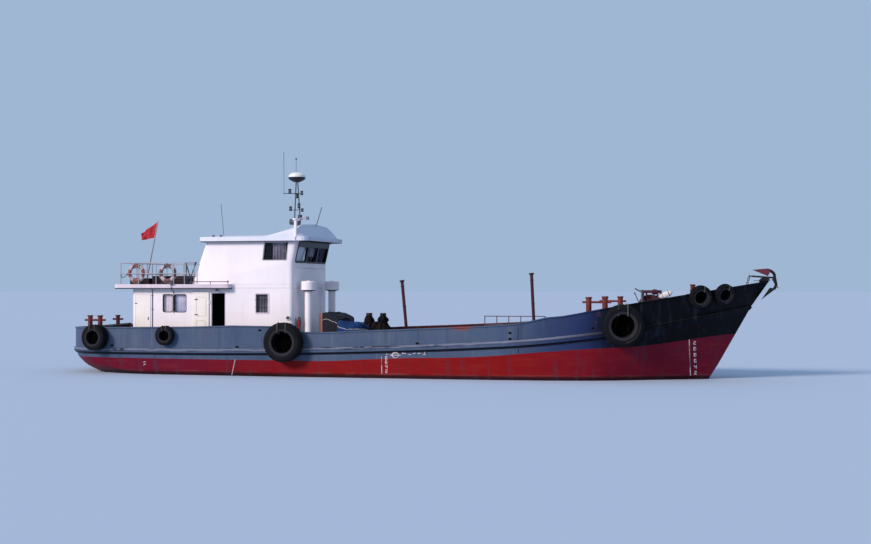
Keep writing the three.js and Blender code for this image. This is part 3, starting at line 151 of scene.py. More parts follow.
@dataclass(frozen=True)
class Paint:
    """Weathered paint on steel: uneven tone, dirt that runs down, rust and brush marks.

    Grain is how many times finer the pattern is than on a ship's side.
    """

    name: str
    colour: str
    shade: str = ""
    rough: float = 0.5
    metal: float = 0.0
    uneven: float = 0.35
    runs: float = 0.25
    run_colour: str = "6f5c4c"
    rust: float = 0.12
    rust_colour: str = "70351c"
    bump: float = 0.12
    grain: float = 1.0
    shine: float = 0.4

    def material(self) -> bpy.types.Material:
        """The finish as a material, made once."""
        found = bpy.data.materials.get(self.name)
        if found:
            return found
        made = bpy.data.materials.new(self.name)
        made.use_nodes = True
        bench = Bench(made.node_tree)
        shader = made.node_tree.nodes["Principled BSDF"]
        self.lay(bench, shader)
        return made

    def ground(self, bench: Bench) -> Socket:
        """The paint's own colour before dirt and rust."""
        second = tint(self.shade) if self.shade else tuple(0.72 * c for c in tint(self.colour)[:3]) + (1,)
        tone = bench.step(bench.cloud(0.8 * self.grain), 0.35, 0.7)
        return bench.mix(bench.times(tone, self.uneven), tint(self.colour), second)

    def relief(self, bench: Bench) -> Socket:
        """The height that the bump follows."""
        fine = bench.cloud(45 * self.grain, detail=3)
        slow = bench.cloud(1.6 * self.grain, detail=2)
        return bench.plus(fine, bench.times(slow, 3.0))

    def lay(self, bench: Bench, shader: bpy.types.Node) -> None:
        """Feeds the shader from the pattern."""
        grain = self.grain
        run = bench.step(bench.cloud(2.4 * grain, (1.6, 1.6, 0.14), 6, 0.7), 0.5, 0.78)
        spots = bench.cloud(3.1 * grain, detail=9, rough=0.72)
        trails = bench.cloud(5.0 * grain, (1.5, 1.5, 0.2), 5, 0.7)
        rusted = bench.step(bench.times(spots, trails), 0.36 - 0.16 * self.rust, 0.42)
        rusted = bench.times(rusted, min(1.0, 3 * self.rust))
        dirty = bench.wash(run, self.runs, self.ground(bench), self.run_colour)
        colour = bench.mix(rusted, dirty, tint(self.rust_colour))
        worn = bench.maths("MULTIPLY_ADD", bench.cloud(6 * grain), 0.25)
        worn.node.inputs[2].default_value = self.rough - 0.125
        height = bench.add(
            "ShaderNodeBump",
            {"Strength": 0.5, "Distance": 0.01 * self.bump / grain, "Height": self.relief(bench)},
        )
        bench.tree.links.new(colour, shader.inputs["Base Color"])
        bench.tree.links.new(bench.plus(worn, bench.times(rusted, 0.3)), shader.inputs["Roughness"])
        bench.tree.links.new(height.outputs[0], shader.inputs["Normal"])
        shader.inputs["Metallic"].default_value = self.metal
        shader.inputs["Specular IOR Level"].default_value = self.shine


@dataclass(frozen=True)
class SidePaint(Paint):
    """The ship's side: red up to the boot line, slate grey above it, black toward the bow, with a painted shadow
    under the rubbing bar.
    """

    red: str = "800d10"
    red_end: str = "680e28"
    navy: str = "222f58"
    black: str = "03050c"
    # The boot line's height at places along the boat.
    boot: tuple[tuple[float, float], ...] = (
        (-13.2, 0.60), (-9.6, 0.58), (-6.1, 0.575), (-2.4, 0.57), (0.4, 0.69), (3.6, 0.79), (5.8, 0.97),
        (7.5, 1.09), (8.7, 1.15), (9.5, 1.24), (10.4, 1.37), (11.0, 1.46), (11.6, 1.53), (13.2, 1.62),
    )
    # The middle of the painted shadow under the rubbing bar, at places along the boat.
    line: tuple[tuple[float, float], ...] = ((-13.2, 0.0), (13.2, 0.0))
    reach: float = 13.2
    tall: float = 3.0
    # The painted shadow under the rubbing bar: its foot and head about its middle.
    shadow: tuple[float, float] = (-0.035, 0.03)

    def profile(self, bench: Bench, x: Socket, places: Sequence[tuple[float, float]]) -> Socket:
        """A height that changes along the boat.

        Args:
            bench: The material's bench.
            x: The place along the boat.
            places: Pairs of x and height, the first and last of them at the ends of the reach.

        Returns:
            The height at x.
        """
        along = bench.add("ShaderNodeMapRange", {"Value": x, "From Min": -self.reach, "From Max": self.reach})
        line = bench.add("ShaderNodeFloatCurve", {"Value": along.outputs[0]})
        curve = line.mapping.curves[0]
        for at, height in places:
            share = (at + self.reach) / (2 * self.reach)
            if share in (0.0, 1.0):
                curve.points[int(share)].location = (share, height / self.tall)
            else:
                curve.points.new(share, height / self.tall)
        for point in curve.points:
            point.handle_type = "AUTO_CLAMPED"
        line.mapping.update()
        return bench.times(line.outputs[0], self.tall)

    def ground(self, bench: Bench) -> Socket:
        """Picks the colour by the height over the boot line and the distance to the bow, and paints the rubbing bar's
        shadow.
        """
        x, _, z = bench.add("ShaderNodeSeparateXYZ", {0: bench.place()}).outputs
        wobble = bench.times(bench.cloud(1.3), 0.03)
        over = bench.plus(bench.maths("SUBTRACT", z, self.profile(bench, x, self.boot)), wobble)
        # The painted shadow band under the rubbing bar.
        below = bench.maths("SUBTRACT", z, self.profile(bench, x, self.line))
        foot, head = self.shadow
        shaded = bench.times(bench.step(below, foot - 0.03, foot), bench.step(below, head + 0.02, head))
        tone = bench.step(bench.cloud(0.7, (1, 1, 1.6)), 0.3, 0.75)
        grey = bench.wash(tone, self.uneven, tint(self.colour), self.shade)
        stained = bench.step(bench.cloud(1.7, (1, 1, 0.7), 6), 0.48, 0.72)
        grey = bench.wash(stained, 0.25, grey, "524a64")
        chalky = bench.step(bench.cloud(4.2, (1.4, 1.4, 0.1), 6), 0.5, 0.76)
        grey = bench.wash(chalky, 0.35, grey, "67786f")
        drift = bench.plus(x, bench.times(bench.cloud(0.5), 1.2))
        grey = bench.mix(bench.step(drift, 4.2, 8.0), grey, tint(self.navy))
        grey = bench.mix(bench.step(drift, 7.4, 8.9), grey, tint(self.black))
        # Lays the painted shadow in near black, over the grey, navy and black.
        grey = bench.wash(shaded, 0.94, grey, "070a16")
        away = bench.step(bench.maths("ABSOLUTE", bench.maths("SUBTRACT", drift, 1.6)), 3.0, 9.5)
        red = bench.mix(away, tint(self.red), tint(self.red_end))
        faded = bench.step(bench.cloud(2.0, (0.5, 0.5, 3.0)), 0.45, 0.8)
        red = bench.wash(faded, 0.2, red, "9c3a26")
        # A paler band a little above the waterline.
        pale_low_band = bench.times(bench.step(z, 0.1, 0.14), bench.step(bench.times(z, -1), -0.2, -0.15))
        pale_low_band = bench.times(pale_low_band, bench.step(bench.cloud(1.1, (1, 1, 4)), 0.4, 0.7))
        red = bench.wash(pale_low_band, 0.35, red, "8c6260")
        # Darker maroon low down: painted shade where the hull turns under at the waterline, with weed growth.
        growth_and_shade = bench.step(bench.plus(z, bench.times(bench.cloud(3), 0.05)), 0.21, 0.1)
        red = bench.mix(growth_and_shade, red, tint("2c0d14"))
        side = bench.mix(bench.step(over, 0.006, 0.022), red, grey)
        spot = bench.add("ShaderNodeVectorMath", {0: bench.place(), 1: (2.95, -2.62, 1.79)}, operation="SUBTRACT")
        wide = bench.add("ShaderNodeVectorMath", {0: spot.outputs[0], 1: (1.6, 1.0, 4.2)}, operation="MULTIPLY")
        far = bench.add("ShaderNodeVectorMath", {0: wide.outputs[0]}, operation="LENGTH").outputs["Value"]
        scar = bench.step(bench.plus(far, bench.times(bench.cloud(4), 0.9)), 1.15, 0.75)
        return bench.wash(scar, 0.75, side, "8a3f2c")

    def relief(self, bench: Bench) -> Socket:
        """Adds the plates' welds and the hollows between the frames."""
        x = bench.add("ShaderNodeSeparateXYZ", {0: bench.place()}).outputs[0]
        between = bench.maths("ABSOLUTE", bench.maths("SINE", bench.times(x, math.pi / 0.6)))
        hollow = bench.times(between, bench.cloud(0.6, detail=2))
        weld = bench.maths("PINGPONG", x, 1.5)
        seam = bench.step(weld, 0.02, 0.0)
        base = bench.times(bench.cloud(30, detail=3), 0.5)
        return bench.plus(base, bench.plus(bench.times(hollow, -6), seam))


@dataclass(frozen=True)
class BarPaint(Paint):
    """The rubbing bar's paint, which turns black with the side that it runs along."""

    fore: str = "04060c"

    def ground(self, bench: Bench) -> Socket:
        """Darkens the paint toward the bow."""
        x = bench.add("ShaderNodeSeparateXYZ", {0: bench.place()}).outputs[0]
        return bench.mix(bench.step(x, 5.6, 8.3), Paint.ground(self, bench), tint(self.fore))


@dataclass(frozen=True)
class Rubber(Paint):
    """Old tyre rubber: grey dust and scuffs over black."""

    rough: float = 0.8
    runs: float = 0.12
    run_colour: str = "34343a"
    rust: float = 0.0
    bump: float = 0.3
    grain: float = 4.0
    shine: float = 0.16


@dataclass(frozen=True)
class Cloth(Paint):
    """Coated or woven cloth, with a fine weave."""

    rough: float = 0.8
    runs: float = 0.2
    rust: float = 0.0
    threads: float = 260.0
    grain: float = 2.5
    shine: float = 0.2

    def relief(self, bench: Bench) -> Socket:
        """The weave over soft creases."""
        weave = [
            bench.add(
                "ShaderNodeTexWave",
                {"Vector": bench.place(), "Scale": self.threads / 6.3, "Distortion": 0.4},
                bands_direction=way,
            ).outputs["Fac"]
            for way in ("X", "Z")
        ]
        crease = bench.times(bench.cloud(3.0, detail=6), 5.0)
        return bench.plus(bench.times(weave[0], weave[1]), crease)


@dataclass(frozen=True)
class Glass:
    """Window glass, a little dusty, which lets daylight in to what hangs behind it."""

    name: str
    colour: str
    cover: float
    rough: float = 0.04

    def material(self) -> bpy.types.Material:
        """The finish as a material, made once."""
        found = bpy.data.materials.get(self.name)
        if found:
            return found
        made = bpy.data.materials.new(self.name)
        made.use_nodes = True
        bench = Bench(made.node_tree)
        shader = made.node_tree.nodes["Principled BSDF"]
        shader.inputs["Base Color"].default_value = tint(self.colour)
        dust = bench.step(bench.cloud(5), 0.45, 0.8)
        for word, most, least in (("Roughness", 0.15, self.rough), ("Alpha", 0.08, self.cover)):
            level = bench.maths("MULTIPLY_ADD", dust, most)
            level.node.inputs[2].default_value = least
            bench.tree.links.new(level, shader.inputs[word])
        shader.inputs["Specular IOR Level"].default_value = 0.3
        return made


SIDE = SidePaint("ship_side_paint", "42546e", "4f5c74", rough=0.5, uneven=1.0, runs=0.6, rust=0.12,
                 run_colour="2f3549",
                 shine=0.1)
INNER = Paint("bulwark_inner_red", "4f1b22", "34151b", rough=0.6, runs=0.4, rust=0.35, shine=0.2)
CAP = Paint("cap_rail_dark", "1d2434", "2b3344", rough=0.5, rust=0.25, shine=0.2)
STRAKE = BarPaint("rubbing_bar_grey", "6e7489", "585c72", rough=0.55, uneven=0.5, runs=0.2, rust=0.08, shine=0.15)
WHITE = Paint("house_white", "f3eaee", "e3dae1", rough=0.5, uneven=0.5, runs=0.16, run_colour="b09a94", rust=0.03,
              shine=0.25)
TRIM = Paint("eave_trim_dark", "3f4452", rough=0.55, rust=0.15, grain=2)
LAVENDER = Paint("door_frame_lavender", "b9b2c8", rough=0.5, rust=0.05, grain=2)
CREAM = Paint("door_cream", "f4ece6", "e4dacd", rough=0.45, rust=0.05, grain=2)
FRAME = Paint("window_frame_dark", "1e1d27", rough=0.45, rust=0.05, grain=3, shine=0.25)
NAVY = Paint("front_frame_navy", "0c1328", "161f38", rough=0.4, rust=0.02, grain=3, shine=0.25)
DECK = Paint("deck_red", "5c1f20", "421718", rough=0.68, uneven=0.8, runs=0.35, rust=0.3, shine=0.2)
BITT = Paint("bitt_red", "70302f", "43191c", rough=0.6, uneven=0.6, rust=0.35, grain=2.5, shine=0.2)
STEEL = Paint("dark_steel", "25272f", "191b21", rough=0.5, metal=0.2, rust=0.22, grain=3, shine=0.3)
RAIL = Paint("rail_grey", "a09ca8", "77757f", rough=0.5, rust=0.3, grain=4)
BRONZE = Paint("dull_bronze", "96783a", "5e5230", rough=0.35, metal=0.85, rust=0.05, rust_colour="3f5a48", grain=4)
GALVANISED = Paint("chain_steel", "403b3a", "2a2625", rough=0.6, metal=0.3, rust=0.5, grain=6, shine=0.2)
MARK = Paint("mark_white", "cdbfc4", rough=0.6, runs=0.4, rust=0.06, grain=3)
# Near black, painted as the shade in holes, under caps and inside the tyres.
SHADE_BLACK = Paint("hole_dark", "030304", rough=0.95, rust=0.0, shine=0.02)
TEAL = Paint("teal_metal", "26444e", "182c34", rough=0.55, rust=0.2, grain=3)
FIRE_RED = Paint("fire_red", "a4211c", rough=0.4, rust=0.06, grain=5)
DOME = Paint("dome_white", "e8e8e6", rough=0.35, runs=0.1, rust=0.0, grain=3)
TYRE = Rubber("tyre_rubber", "0b0c12", "14151b")
ROPE = Cloth("rope_grey", "55504a", "38342f", runs=0.4, grain=8)
ROPE_WHITE = Cloth("rope_white", "cfc8bd", "9f968a", runs=0.3, grain=8)
TARP_DARK = Cloth("tarp_dark", "1f202b", "131a26", runs=0.5, run_colour="35323c")
TARP_BLUE = Cloth("tarp_blue", "0f386f", "081c3c", uneven=0.9, runs=0.4, run_colour="0d1426")
FLAG_RED = Cloth("flag_red", "b3303a", "872430", runs=0.1)
CURTAIN = Cloth("curtain_grey", "a49fb2", "5f5a68", uneven=0.8, runs=0.3, run_colour="4d4650")
CURTAIN_BLUE = Cloth("curtain_blue", "dcd6ea", "8f94bd", uneven=0.8, runs=0.3, run_colour="6d739f")
BUOY = Paint("buoy_orange", "8a4a40", "66342f", rough=0.55, runs=0.4, rust=0.0, grain=5)
RIB = Paint("rib_pale", "8c8794", "5f3a40", rough=0.55, uneven=0.9, rust=0.3, grain=2)
# The rooms' inner faces, painted dark as the shade inside them.
INSIDE_SHADE = Paint("cabin_lining", "2c2927", "1c1a19", rough=0.8, runs=0.1, rust=0.02, shine=0.1)
# Near black, painted as the shade in the passage behind the doorways.
PASSAGE_SHADE = Paint("passage_dark", "060607", rough=0.95, runs=0.0, rust=0.0)
CREAM_DARK = Paint("door_cream_shaded", "dcd2c4", "c4b9a6", rough=0.5, rust=0.08, grain=3)
MAST = Paint("mast_grey", "3c424e", "2a2e38", rough=0.5, rust=0.15, grain=4)
CAP_RED = Paint("worn_cap", "8a4a4c", "5a2628", rough=0.5, rust=0.5, grain=4)
CAP_DARK = Paint("vent_cap_dark", "2a1a1e", "171014", rough=0.7, rust=0.3, grain=4)
ANCHOR_ARM = Paint("anchor_black", "0d0e13", "07080b", rough=0.55, rust=0.1, grain=4, shine=0.2)
ANCHOR_RED = Paint("anchor_maroon", "5c1c2c", "3a101c", rough=0.55, rust=0.2, grain=4, shine=0.3)
PALE_BLUE = Paint("faded_blue", "a9b9cf", "7f8fa8", rough=0.6, runs=0.4, rust=0.25, grain=3)
PLANK = Paint("weathered_plank", "5b4a3c", "3c3028", rough=0.8, runs=0.3, rust=0.05, grain=4)
PLANK_PINK = Paint("faded_board", "b5776c", "8d5a50", rough=0.75, runs=0.35, rust=0.1, grain=3)
LAGGING = Paint("worn_lagging", "141013", "09080a", rough=0.95, runs=0.3, rust=0.12, bump=1.2, grain=3, shine=0.1)
BUOY_WHITE = Paint("buoy_white", "dcd4d2", "b3a5a3", rough=0.55, runs=0.4, rust=0.0, grain=5)
BUOY_DULL = Paint("buoy_faded", "6d4a4c", "4e383a", rough=0.65, runs=0.4, rust=0.0, grain=5)
TYRE_GREY = Rubber("tyre_bead_grey", "2c2a2f", "1b191e", runs=0.3)
LENS = Paint("lantern_lens", "4a5365", "2c3342", rough=0.15, runs=0.1, rust=0.0, grain=6)
BUOY_PALE = Paint("buoy_grey_white", "b9abb0", "8f8085", rough=0.6, runs=0.4, rust=0.0, grain=5)
CURTAIN_ICE = Cloth("curtain_ice", "eef4ff", "d8e2f6", runs=0.15)
# A navy sheet, painted as the shade inside the wheelhouse.
FRONT_SHADE_SHEET = Cloth("curtain_navy", "161d40", "0d1230", runs=0.1)
CURTAIN_PINK = Cloth("curtain_pink_grey", "f1e3ea", "d9cbd6", runs=0.15)
PANE = Glass("window_glass", "39424f", 0.12)
PANE_PALE = Glass("window_glass_pale", "aab4c4", 0.08)
FRONT_PANE = Glass("front_window_glass", "1c2740", 0.05)
EAVE = Paint("eave_white", "dccfd9", "c6b5bf", rough=0.55, uneven=0.7, runs=0.3, run_colour="8f7468", rust=0.12,
             grain=2, shine=0.25)
ROOF_WHITE = Paint("roof_white", "e2e1ec", "cfd1e0", rough=0.5, uneven=0.6, runs=0.2, run_colour="a7a0a6", rust=0.05,
                   shine=0.25)
# The visor's forward faces, a greyer white painted as their shade.
VISOR_SHADE = Paint("visor_white", "c3c9dc", "b2b9cf", rough=0.5, uneven=0.6, runs=0.2, run_colour="8f93a6", rust=0.04,
              shine=0.2)
TRUNK_RAIL = Paint("trunk_rail_brown", "5d4450", "463540", rough=0.55, rust=0.3, grain=4)
# A grey, painted highlight along a tyre's lower rim.
RIM_HIGHLIGHT = Paint("rubber_scuff", "4a4542", "35322f", rough=0.9, runs=0.3, rust=0.0, grain=4, shine=0.1)
POST = Paint("vent_post_paint", "47202c", "2b1620", rough=0.6, rust=0.3, grain=3, shine=0.2)
STOWAGE = Paint("stowage_brown", "3a2a33", "1a151c", rough=0.75, uneven=0.9, runs=0.3, rust=0.1, grain=4, shine=0.2)

Finish = Paint | Glass


class GeometryTree:
    """A Geometry Nodes tree with named inputs, used for one piece after another and then applied."""

    def __init__(self, name: str, inputs: dict[str, str]) -> None:
        """Sets up the tree's two ends.

        Args:
            name: The tree's name.
            inputs: Input name to socket type, without the geometry that comes first.
        """
        self.tree = bpy.data.node_groups.new(name, "GeometryNodeTree")
        face = self.tree.interface
        kinds = {"Geometry": "NodeSocketGeometry", **inputs, "Material": "NodeSocketMaterial"}
        self.sockets = {
            word: face.new_socket(word, in_out="INPUT", socket_type=kind).identifier for word, kind in kinds.items()
        }
        face.new_socket("Geometry", in_out="OUTPUT", socket_type="NodeSocketGeometry")
        self.bench = Bench(self.tree)
        self.given = self.bench.add("NodeGroupInput").outputs

    def close(self, geometry: Socket) -> None:
        """Ends the tree in plain faces with one material."""
        real = self.bench.add("GeometryNodeRealizeInstances", {"Geometry": geometry}).outputs[0]
        inputs = {"Geometry": real, "Material": self.given["Material"]}
        done = self.bench.add("GeometryNodeSetMaterial", inputs).outputs[0]
        self.bench.add("NodeGroupOutput", {"Geometry": done})

    def make(self, name: str, source: bpy.types.Mesh, finish: Finish, **values: object) -> Piece:
        """Runs the tree on a mesh and keeps the result as a plain mesh.

        Args:
            name: The piece's name.
            source: The mesh that the tree starts from.
            finish: What the piece is finished in.
            values: The tree's named inputs.

        Returns:
            The piece.
        """
        piece = bpy.data.objects.new(name, source)
        bpy.context.scene.collection.objects.link(piece)
        modifier = piece.modifiers.new("shape", "NODES")
        modifier.node_group = self.tree
        for word, value in {**values, "Material": finish.material()}.items():
            modifier[self.sockets[word]] = value
        graph = bpy.context.evaluated_depsgraph_get()
        shaped = bpy.data.meshes.new_from_object(piece.evaluated_get(graph), depsgraph=graph)
        piece.modifiers.clear()
        piece.data = shaped
        shaped.name = name
        return piece


class Sweep(GeometryTree):
    """A round bar, pipe or rope along each run of edges, with bent corners."""

    def __init__(self) -> None:
        """Builds the tree."""
        super().__init__("sweep", {"Radius": "NodeSocketFloat", "Bend": "NodeSocketFloat", "Sides": "NodeSocketInt",
                                   "Steps": "NodeSocketInt"})
        bench = self.bench
        line = bench.add("GeometryNodeMeshToCurve", {"Mesh": self.given["Geometry"]}).outputs[0]
        bent = bench.add(
            "GeometryNodeFilletCurve",
            {"Curve": line, "Count": self.given["Steps"], "Radius": self.given["Bend"], "Limit Radius": True},
            mode="POLY",
        ).outputs[0]
        ring = bench.add(
            "GeometryNodeCurvePrimitiveCircle",
            {"Resolution": self.given["Sides"], "Radius": self.given["Radius"]},
        ).outputs[0]
        inputs = {"Curve": bent, "Profile Curve": ring, "Fill Caps": True}
        skin = bench.add("GeometryNodeCurveToMesh", inputs).outputs[0]
        self.close(bench.add("GeometryNodeSetShadeSmooth", {"Geometry": skin}).outputs[0])

    def lay(
        self, name: str, runs: Iterable[Sequence[Sequence[float]]], radius: float, finish: Finish,
        bend: float = 0.001, sides: int = 10, steps: int = 4, closed: bool = False,
    ) -> Piece:
        """Lays bars along runs of points.

        Args:
            name: The piece's name.
            runs: Each run's points, in metres.
            radius: The bar's radius.
            finish: What it is finished in.
            bend: The corners' radius.
            sides: Sides of the round section.
            steps: Points in each corner.
            closed: Whether each run ends where it starts.

        Returns:
            The piece, as one plain mesh.
        """
        points: list[Sequence[float]] = []
        edges: list[tuple[int, int]] = []
        for run in runs:
            first = len(points)
            points.extend(tuple(point) for point in run)
            edges.extend((i, i + 1) for i in range(first, len(points) - 1))
            if closed:
                edges.append((len(points) - 1, first))
        mesh = bpy.data.meshes.new(name)
        mesh.from_pydata(points, edges, [])
        values = {"Radius": radius, "Bend": bend, "Sides": sides, "Steps": steps}
        return self.make(name, mesh, finish, **values)


class Scatter(GeometryTree):
    """One small shape set at many places, each with its own turn and size."""

    def __init__(self) -> None:
        """Builds the tree."""
        super().__init__("scatter", {"Shape": "NodeSocketObject"})
        bench = self.bench
        points = bench.add("GeometryNodeMeshToPoints", {"Mesh": self.given["Geometry"]}).outputs[0]
        shape = bench.add("GeometryNodeObjectInfo", {"Object": self.given["Shape"]}).outputs["Geometry"]
        turn, size = (
            bench.add("GeometryNodeInputNamedAttribute", {"Name": word}, data_type="FLOAT_VECTOR").outputs[0]
            for word in ("turn", "size")
        )
        turned = bench.add("FunctionNodeEulerToRotation", {0: turn}).outputs[0]
        inputs = {"Points": points, "Instance": shape, "Rotation": turned, "Scale": size}
        self.close(bench.add("GeometryNodeInstanceOnPoints", inputs).outputs[0])

    def set(self, name: str, shape: "Form", places: Iterable[Matrix], finish: Finish) -> Piece:
        """Sets a shape at each place.

        Args:
            name: The piece's name.
            shape: The shape, about its own origin.
            places: A matrix for each copy.
            finish: What the copies are finished in.

        Returns:
            The piece, as one plain mesh.
        """
        spots = [place.decompose() for place in places]
        mesh = bpy.data.meshes.new(name)
        mesh.from_pydata([spot[0] for spot in spots], [], [])
        for word, rows in (("turn", [s[1].to_euler() for s in spots]), ("size", [s[2] for s in spots])):
            layer = mesh.attributes.new(word, "FLOAT_VECTOR", "POINT")
            layer.data.foreach_set("vector", [value for row in rows for value in row])
        pattern = shape.piece(name + "_shape", finish)
        made = self.make(name, mesh, finish, Shape=pattern)
        bpy.data.objects.remove(pattern)
        return made


def facing(direction: Sequence[float], at: Sequence[float] = (0, 0, 0)) -> Matrix:
    """A place whose own z axis points a given way."""
    return moved(at) @ Vector(direction).to_track_quat("Z", "Y").to_matrix().to_4x4()


moved = Matrix.Translation


def band(inner: float, outer: float, low: float, high: float, slope: float = 0.0) -> list[tuple[float, float]]:
    """A ring's section to lathe, with its outer edges sloped off by the last measure."""
    return [(inner, low), (outer, low + slope), (outer, high - slope), (inner, high), (inner, low)]


def spokes(count: int) -> list[tuple[float, float]]:
    """Points evenly round a circle of radius one."""
    angles = [2 * math.pi * i / count for i in range(count)]
    return [(math.cos(a), math.sin(a)) for a in angles]


class Form:
    """One mesh put together from lathed, lofted and plated shapes."""

    def __init__(self) -> None:
        """Starts empty."""
        self.mesh = bmesh.new()

    def loft(self, rings: Sequence[Sequence[Sequence[float]]], closed: bool = True, capped: bool = True) -> "Form":
        """A skin over rings of equally many points.

        Args:
            rings: The rings' points.
            closed: Whether each ring's last point joins its first.
            capped: Whether the first and last rings are filled.

        Returns:
            This form.
        """
        rows = [[self.mesh.verts.new(point) for point in ring] for ring in rings]
        size = len(rows[0])
        for low, high in zip(rows, rows[1:]):
            for i in range(size if closed else size - 1):
                j = (i + 1) % size
                self.mesh.faces.new((low[i], low[j], high[j], high[i]))
        if capped and closed:
            self.mesh.faces.new(rows[0][::-1])
            self.mesh.faces.new(rows[-1])
        return self

    def lathe(
        self, profile: Sequence[tuple[float, float]], at: Sequence[float] = (0, 0, 0),
        axis: Sequence[float] = (0, 0, 1), sides: int = 32,
    ) -> "Form":
        """A profile of radius and height turned round an axis through a point.

        Args:
            profile: Radius and height pairs. One that starts and ends on the axis closes the shape, and so does
                one that ends where it starts.
            at: The axis's point.
            axis: The axis's direction.
            sides: How many sides the turned shape has.

        Returns:
            This form.
        """
        place = facing(axis, at)
        looped = profile[0] == profile[-1]
        rows = []
        for radius, height in profile[:-1] if looped else profile:
            if radius < 1e-6:
                rows.append([self.mesh.verts.new(place @ Vector((0, 0, height)))])
                continue
            ring = [place @ Vector((radius * c, radius * s, height)) for c, s in spokes(sides)]
            rows.append([self.mesh.verts.new(point) for point in ring])
        pairs = list(zip(rows, rows[1:])) + ([(rows[-1], rows[0])] if looped else [])
        for low, high in pairs:
            for i in range(sides):
                j = (i + 1) % sides
                corners = [low[i % len(low)], low[j % len(low)], high[j % len(high)], high[i % len(high)]]
                face = list(dict.fromkeys(corners))
                if len(face) > 2:
                    self.mesh.faces.new(face)
        return self

    def rod(self, start: Sequence[float], end: Sequence[float], radius: float, sides: int = 16) -> "Form":
        """A round bar with slightly rounded ends."""
        way = Vector(end) - Vector(start)
        far, lip = way.length, min(0.15 * radius, 0.01)
        profile = [(0, 0), (radius - lip, 0), (radius, lip), (radius, far - lip), (radius - lip, far), (0, far)]
        return self.lathe(profile, start, way, sides)

    def plate(self, outline: Sequence[tuple[float, float]], depth: float, place: Matrix) -> "Form":
        """A flat outline given a thickness upwards from its own plane, set at a place."""
        rings = [[place @ Vector((x, y, z)) for x, y in outline] for z in (0, depth)]
        return self.loft(rings)

    def block(self, low: Sequence[float], high: Sequence[float]) -> "Form":
        """A block between two corners."""
        outline = [(low[0], low[1]), (high[0], low[1]), (high[0], high[1]), (low[0], high[1])]
        return self.plate(outline, high[2] - low[2], moved((0, 0, low[2])))

    def piece(self, name: str, finish: Finish, edge: float = 0.0, crease: float = 35.0) -> Piece:
        """Turns the form into an object.

        Args:
            name: The piece's name.
            finish: What it is finished in.
            edge: Width of the rounding on sharp edges.
            crease: Edges that turn more than this angle stay sharp.

        Returns:
            The piece.
        """
        bmesh.ops.recalc_face_normals(self.mesh, faces=self.mesh.faces[:])
        mesh = bpy.data.meshes.new(name)
        soften(self.mesh, crease)
        self.mesh.to_mesh(mesh)
        self.mesh.free()
        made = bpy.data.objects.new(name, mesh)
        bpy.context.scene.collection.objects.link(made)
        mesh.materials.append(finish.material())
        if edge:
            rounded(made, edge, crease)
        return made

    def fix(
        self, name: str, finish: Finish, slot: str = "", edge: float = 0.0, crease: float = 35.0, body: str = "boat",
    ) -> Piece:
        """Turns the form into an object that rides on a body.

        Args:
            name: The piece's name.
            finish: What it is finished in.
            slot: The record's material slot.
            edge: Width of the rounding on sharp edges.
            crease: Edges that turn more than this angle stay sharp.
            body: The body it rides on.

        Returns:
            The piece.
        """
        return fit(self.piece(name, finish, edge, crease), slot, body=body)


def soften(mesh: bmesh.types.BMesh, crease: float) -> None:
    """Shades a mesh smooth except where it turns sharply."""
    for face in mesh.faces:
        face.smooth = True
    for edge in mesh.edges:
        edge.smooth = len(edge.link_faces) == 2 and edge.calc_face_angle(0) < math.radians(crease)


def rounded(piece: Piece, width: float, crease: float = 35.0) -> None:
    """Rounds a piece's sharp edges."""
    bevel = piece.modifiers.new("edges", "BEVEL")
    bevel.width = width
    bevel.segments = 2
    bevel.limit_method = "ANGLE"
    bevel.angle_limit = math.radians(crease)
    bevel.harden_normals = True
    bevel.use_clamp_overlap = True


def fair_copy(
    node: str, finishes: Sequence[Finish], edge: float = 0.0, crease: float = 35.0,
    pick: Callable[[Vector, Vector], int] | None = None, slot: str = "", body: str = "boat",
    reshape: Callable[[Vector], Vector] | None = None,
) -> Piece:
    """Stands in for a CAD node with the same shape, smooth where it is round and rounded at its edges.

    Args:
        node: The node.
        finishes: The finishes of its faces.
        edge: Width of the rounding.
        crease: Edges that turn more than this angle stay sharp.
        pick: Gives a face's finish number from its middle and the way it faces.
        slot: The record's material slot.
        body: The body it rides on.
        reshape: Gives a corner's new place, where the real piece is a little slimmer or lower.

    Returns:
        The piece.
    """
    shape = bmesh.new()
    shape.from_mesh(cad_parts[node].data)
    bmesh.ops.remove_doubles(shape, verts=shape.verts[:], dist=2e-5)
    for corner in shape.verts if reshape else ():
        corner.co = reshape(corner.co)
    if edge:
        bmesh.ops.dissolve_limit(shape, angle_limit=math.radians(0.6), verts=shape.verts[:], edges=shape.edges[:])
    soften(shape, crease)
    shape.normal_update()
    for face in shape.faces:
        face.material_index = pick(face.calc_center_median(), face.normal) if pick else 0
    mesh = bpy.data.meshes.new("painted_" + node)
    shape.to_mesh(mesh)
    shape.free()
    made = bpy.data.objects.new("painted_" + node, mesh)
    bpy.context.scene.collection.objects.link(made)
    for finish in finishes:
        mesh.materials.append(finish.material())
    if edge:
        rounded(made, edge, crease)
    return fit(made, slot, node, body=body)


def fit(piece: Piece, slot: str = "", *nodes: str, body: str = "boat") -> Piece:
    """Fixes a piece to its body, and hides the CAD nodes that it stands for.

    Args:
        piece: The finished piece.
        slot: Not used.
        nodes: The CAD nodes that it stands for.
        body: The body it rides on.

    Returns:
        The piece.
    """
    if nodes:
        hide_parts(*nodes)
    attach(piece, body)
    log.info("%s on %s", piece.name, body)
    return piece


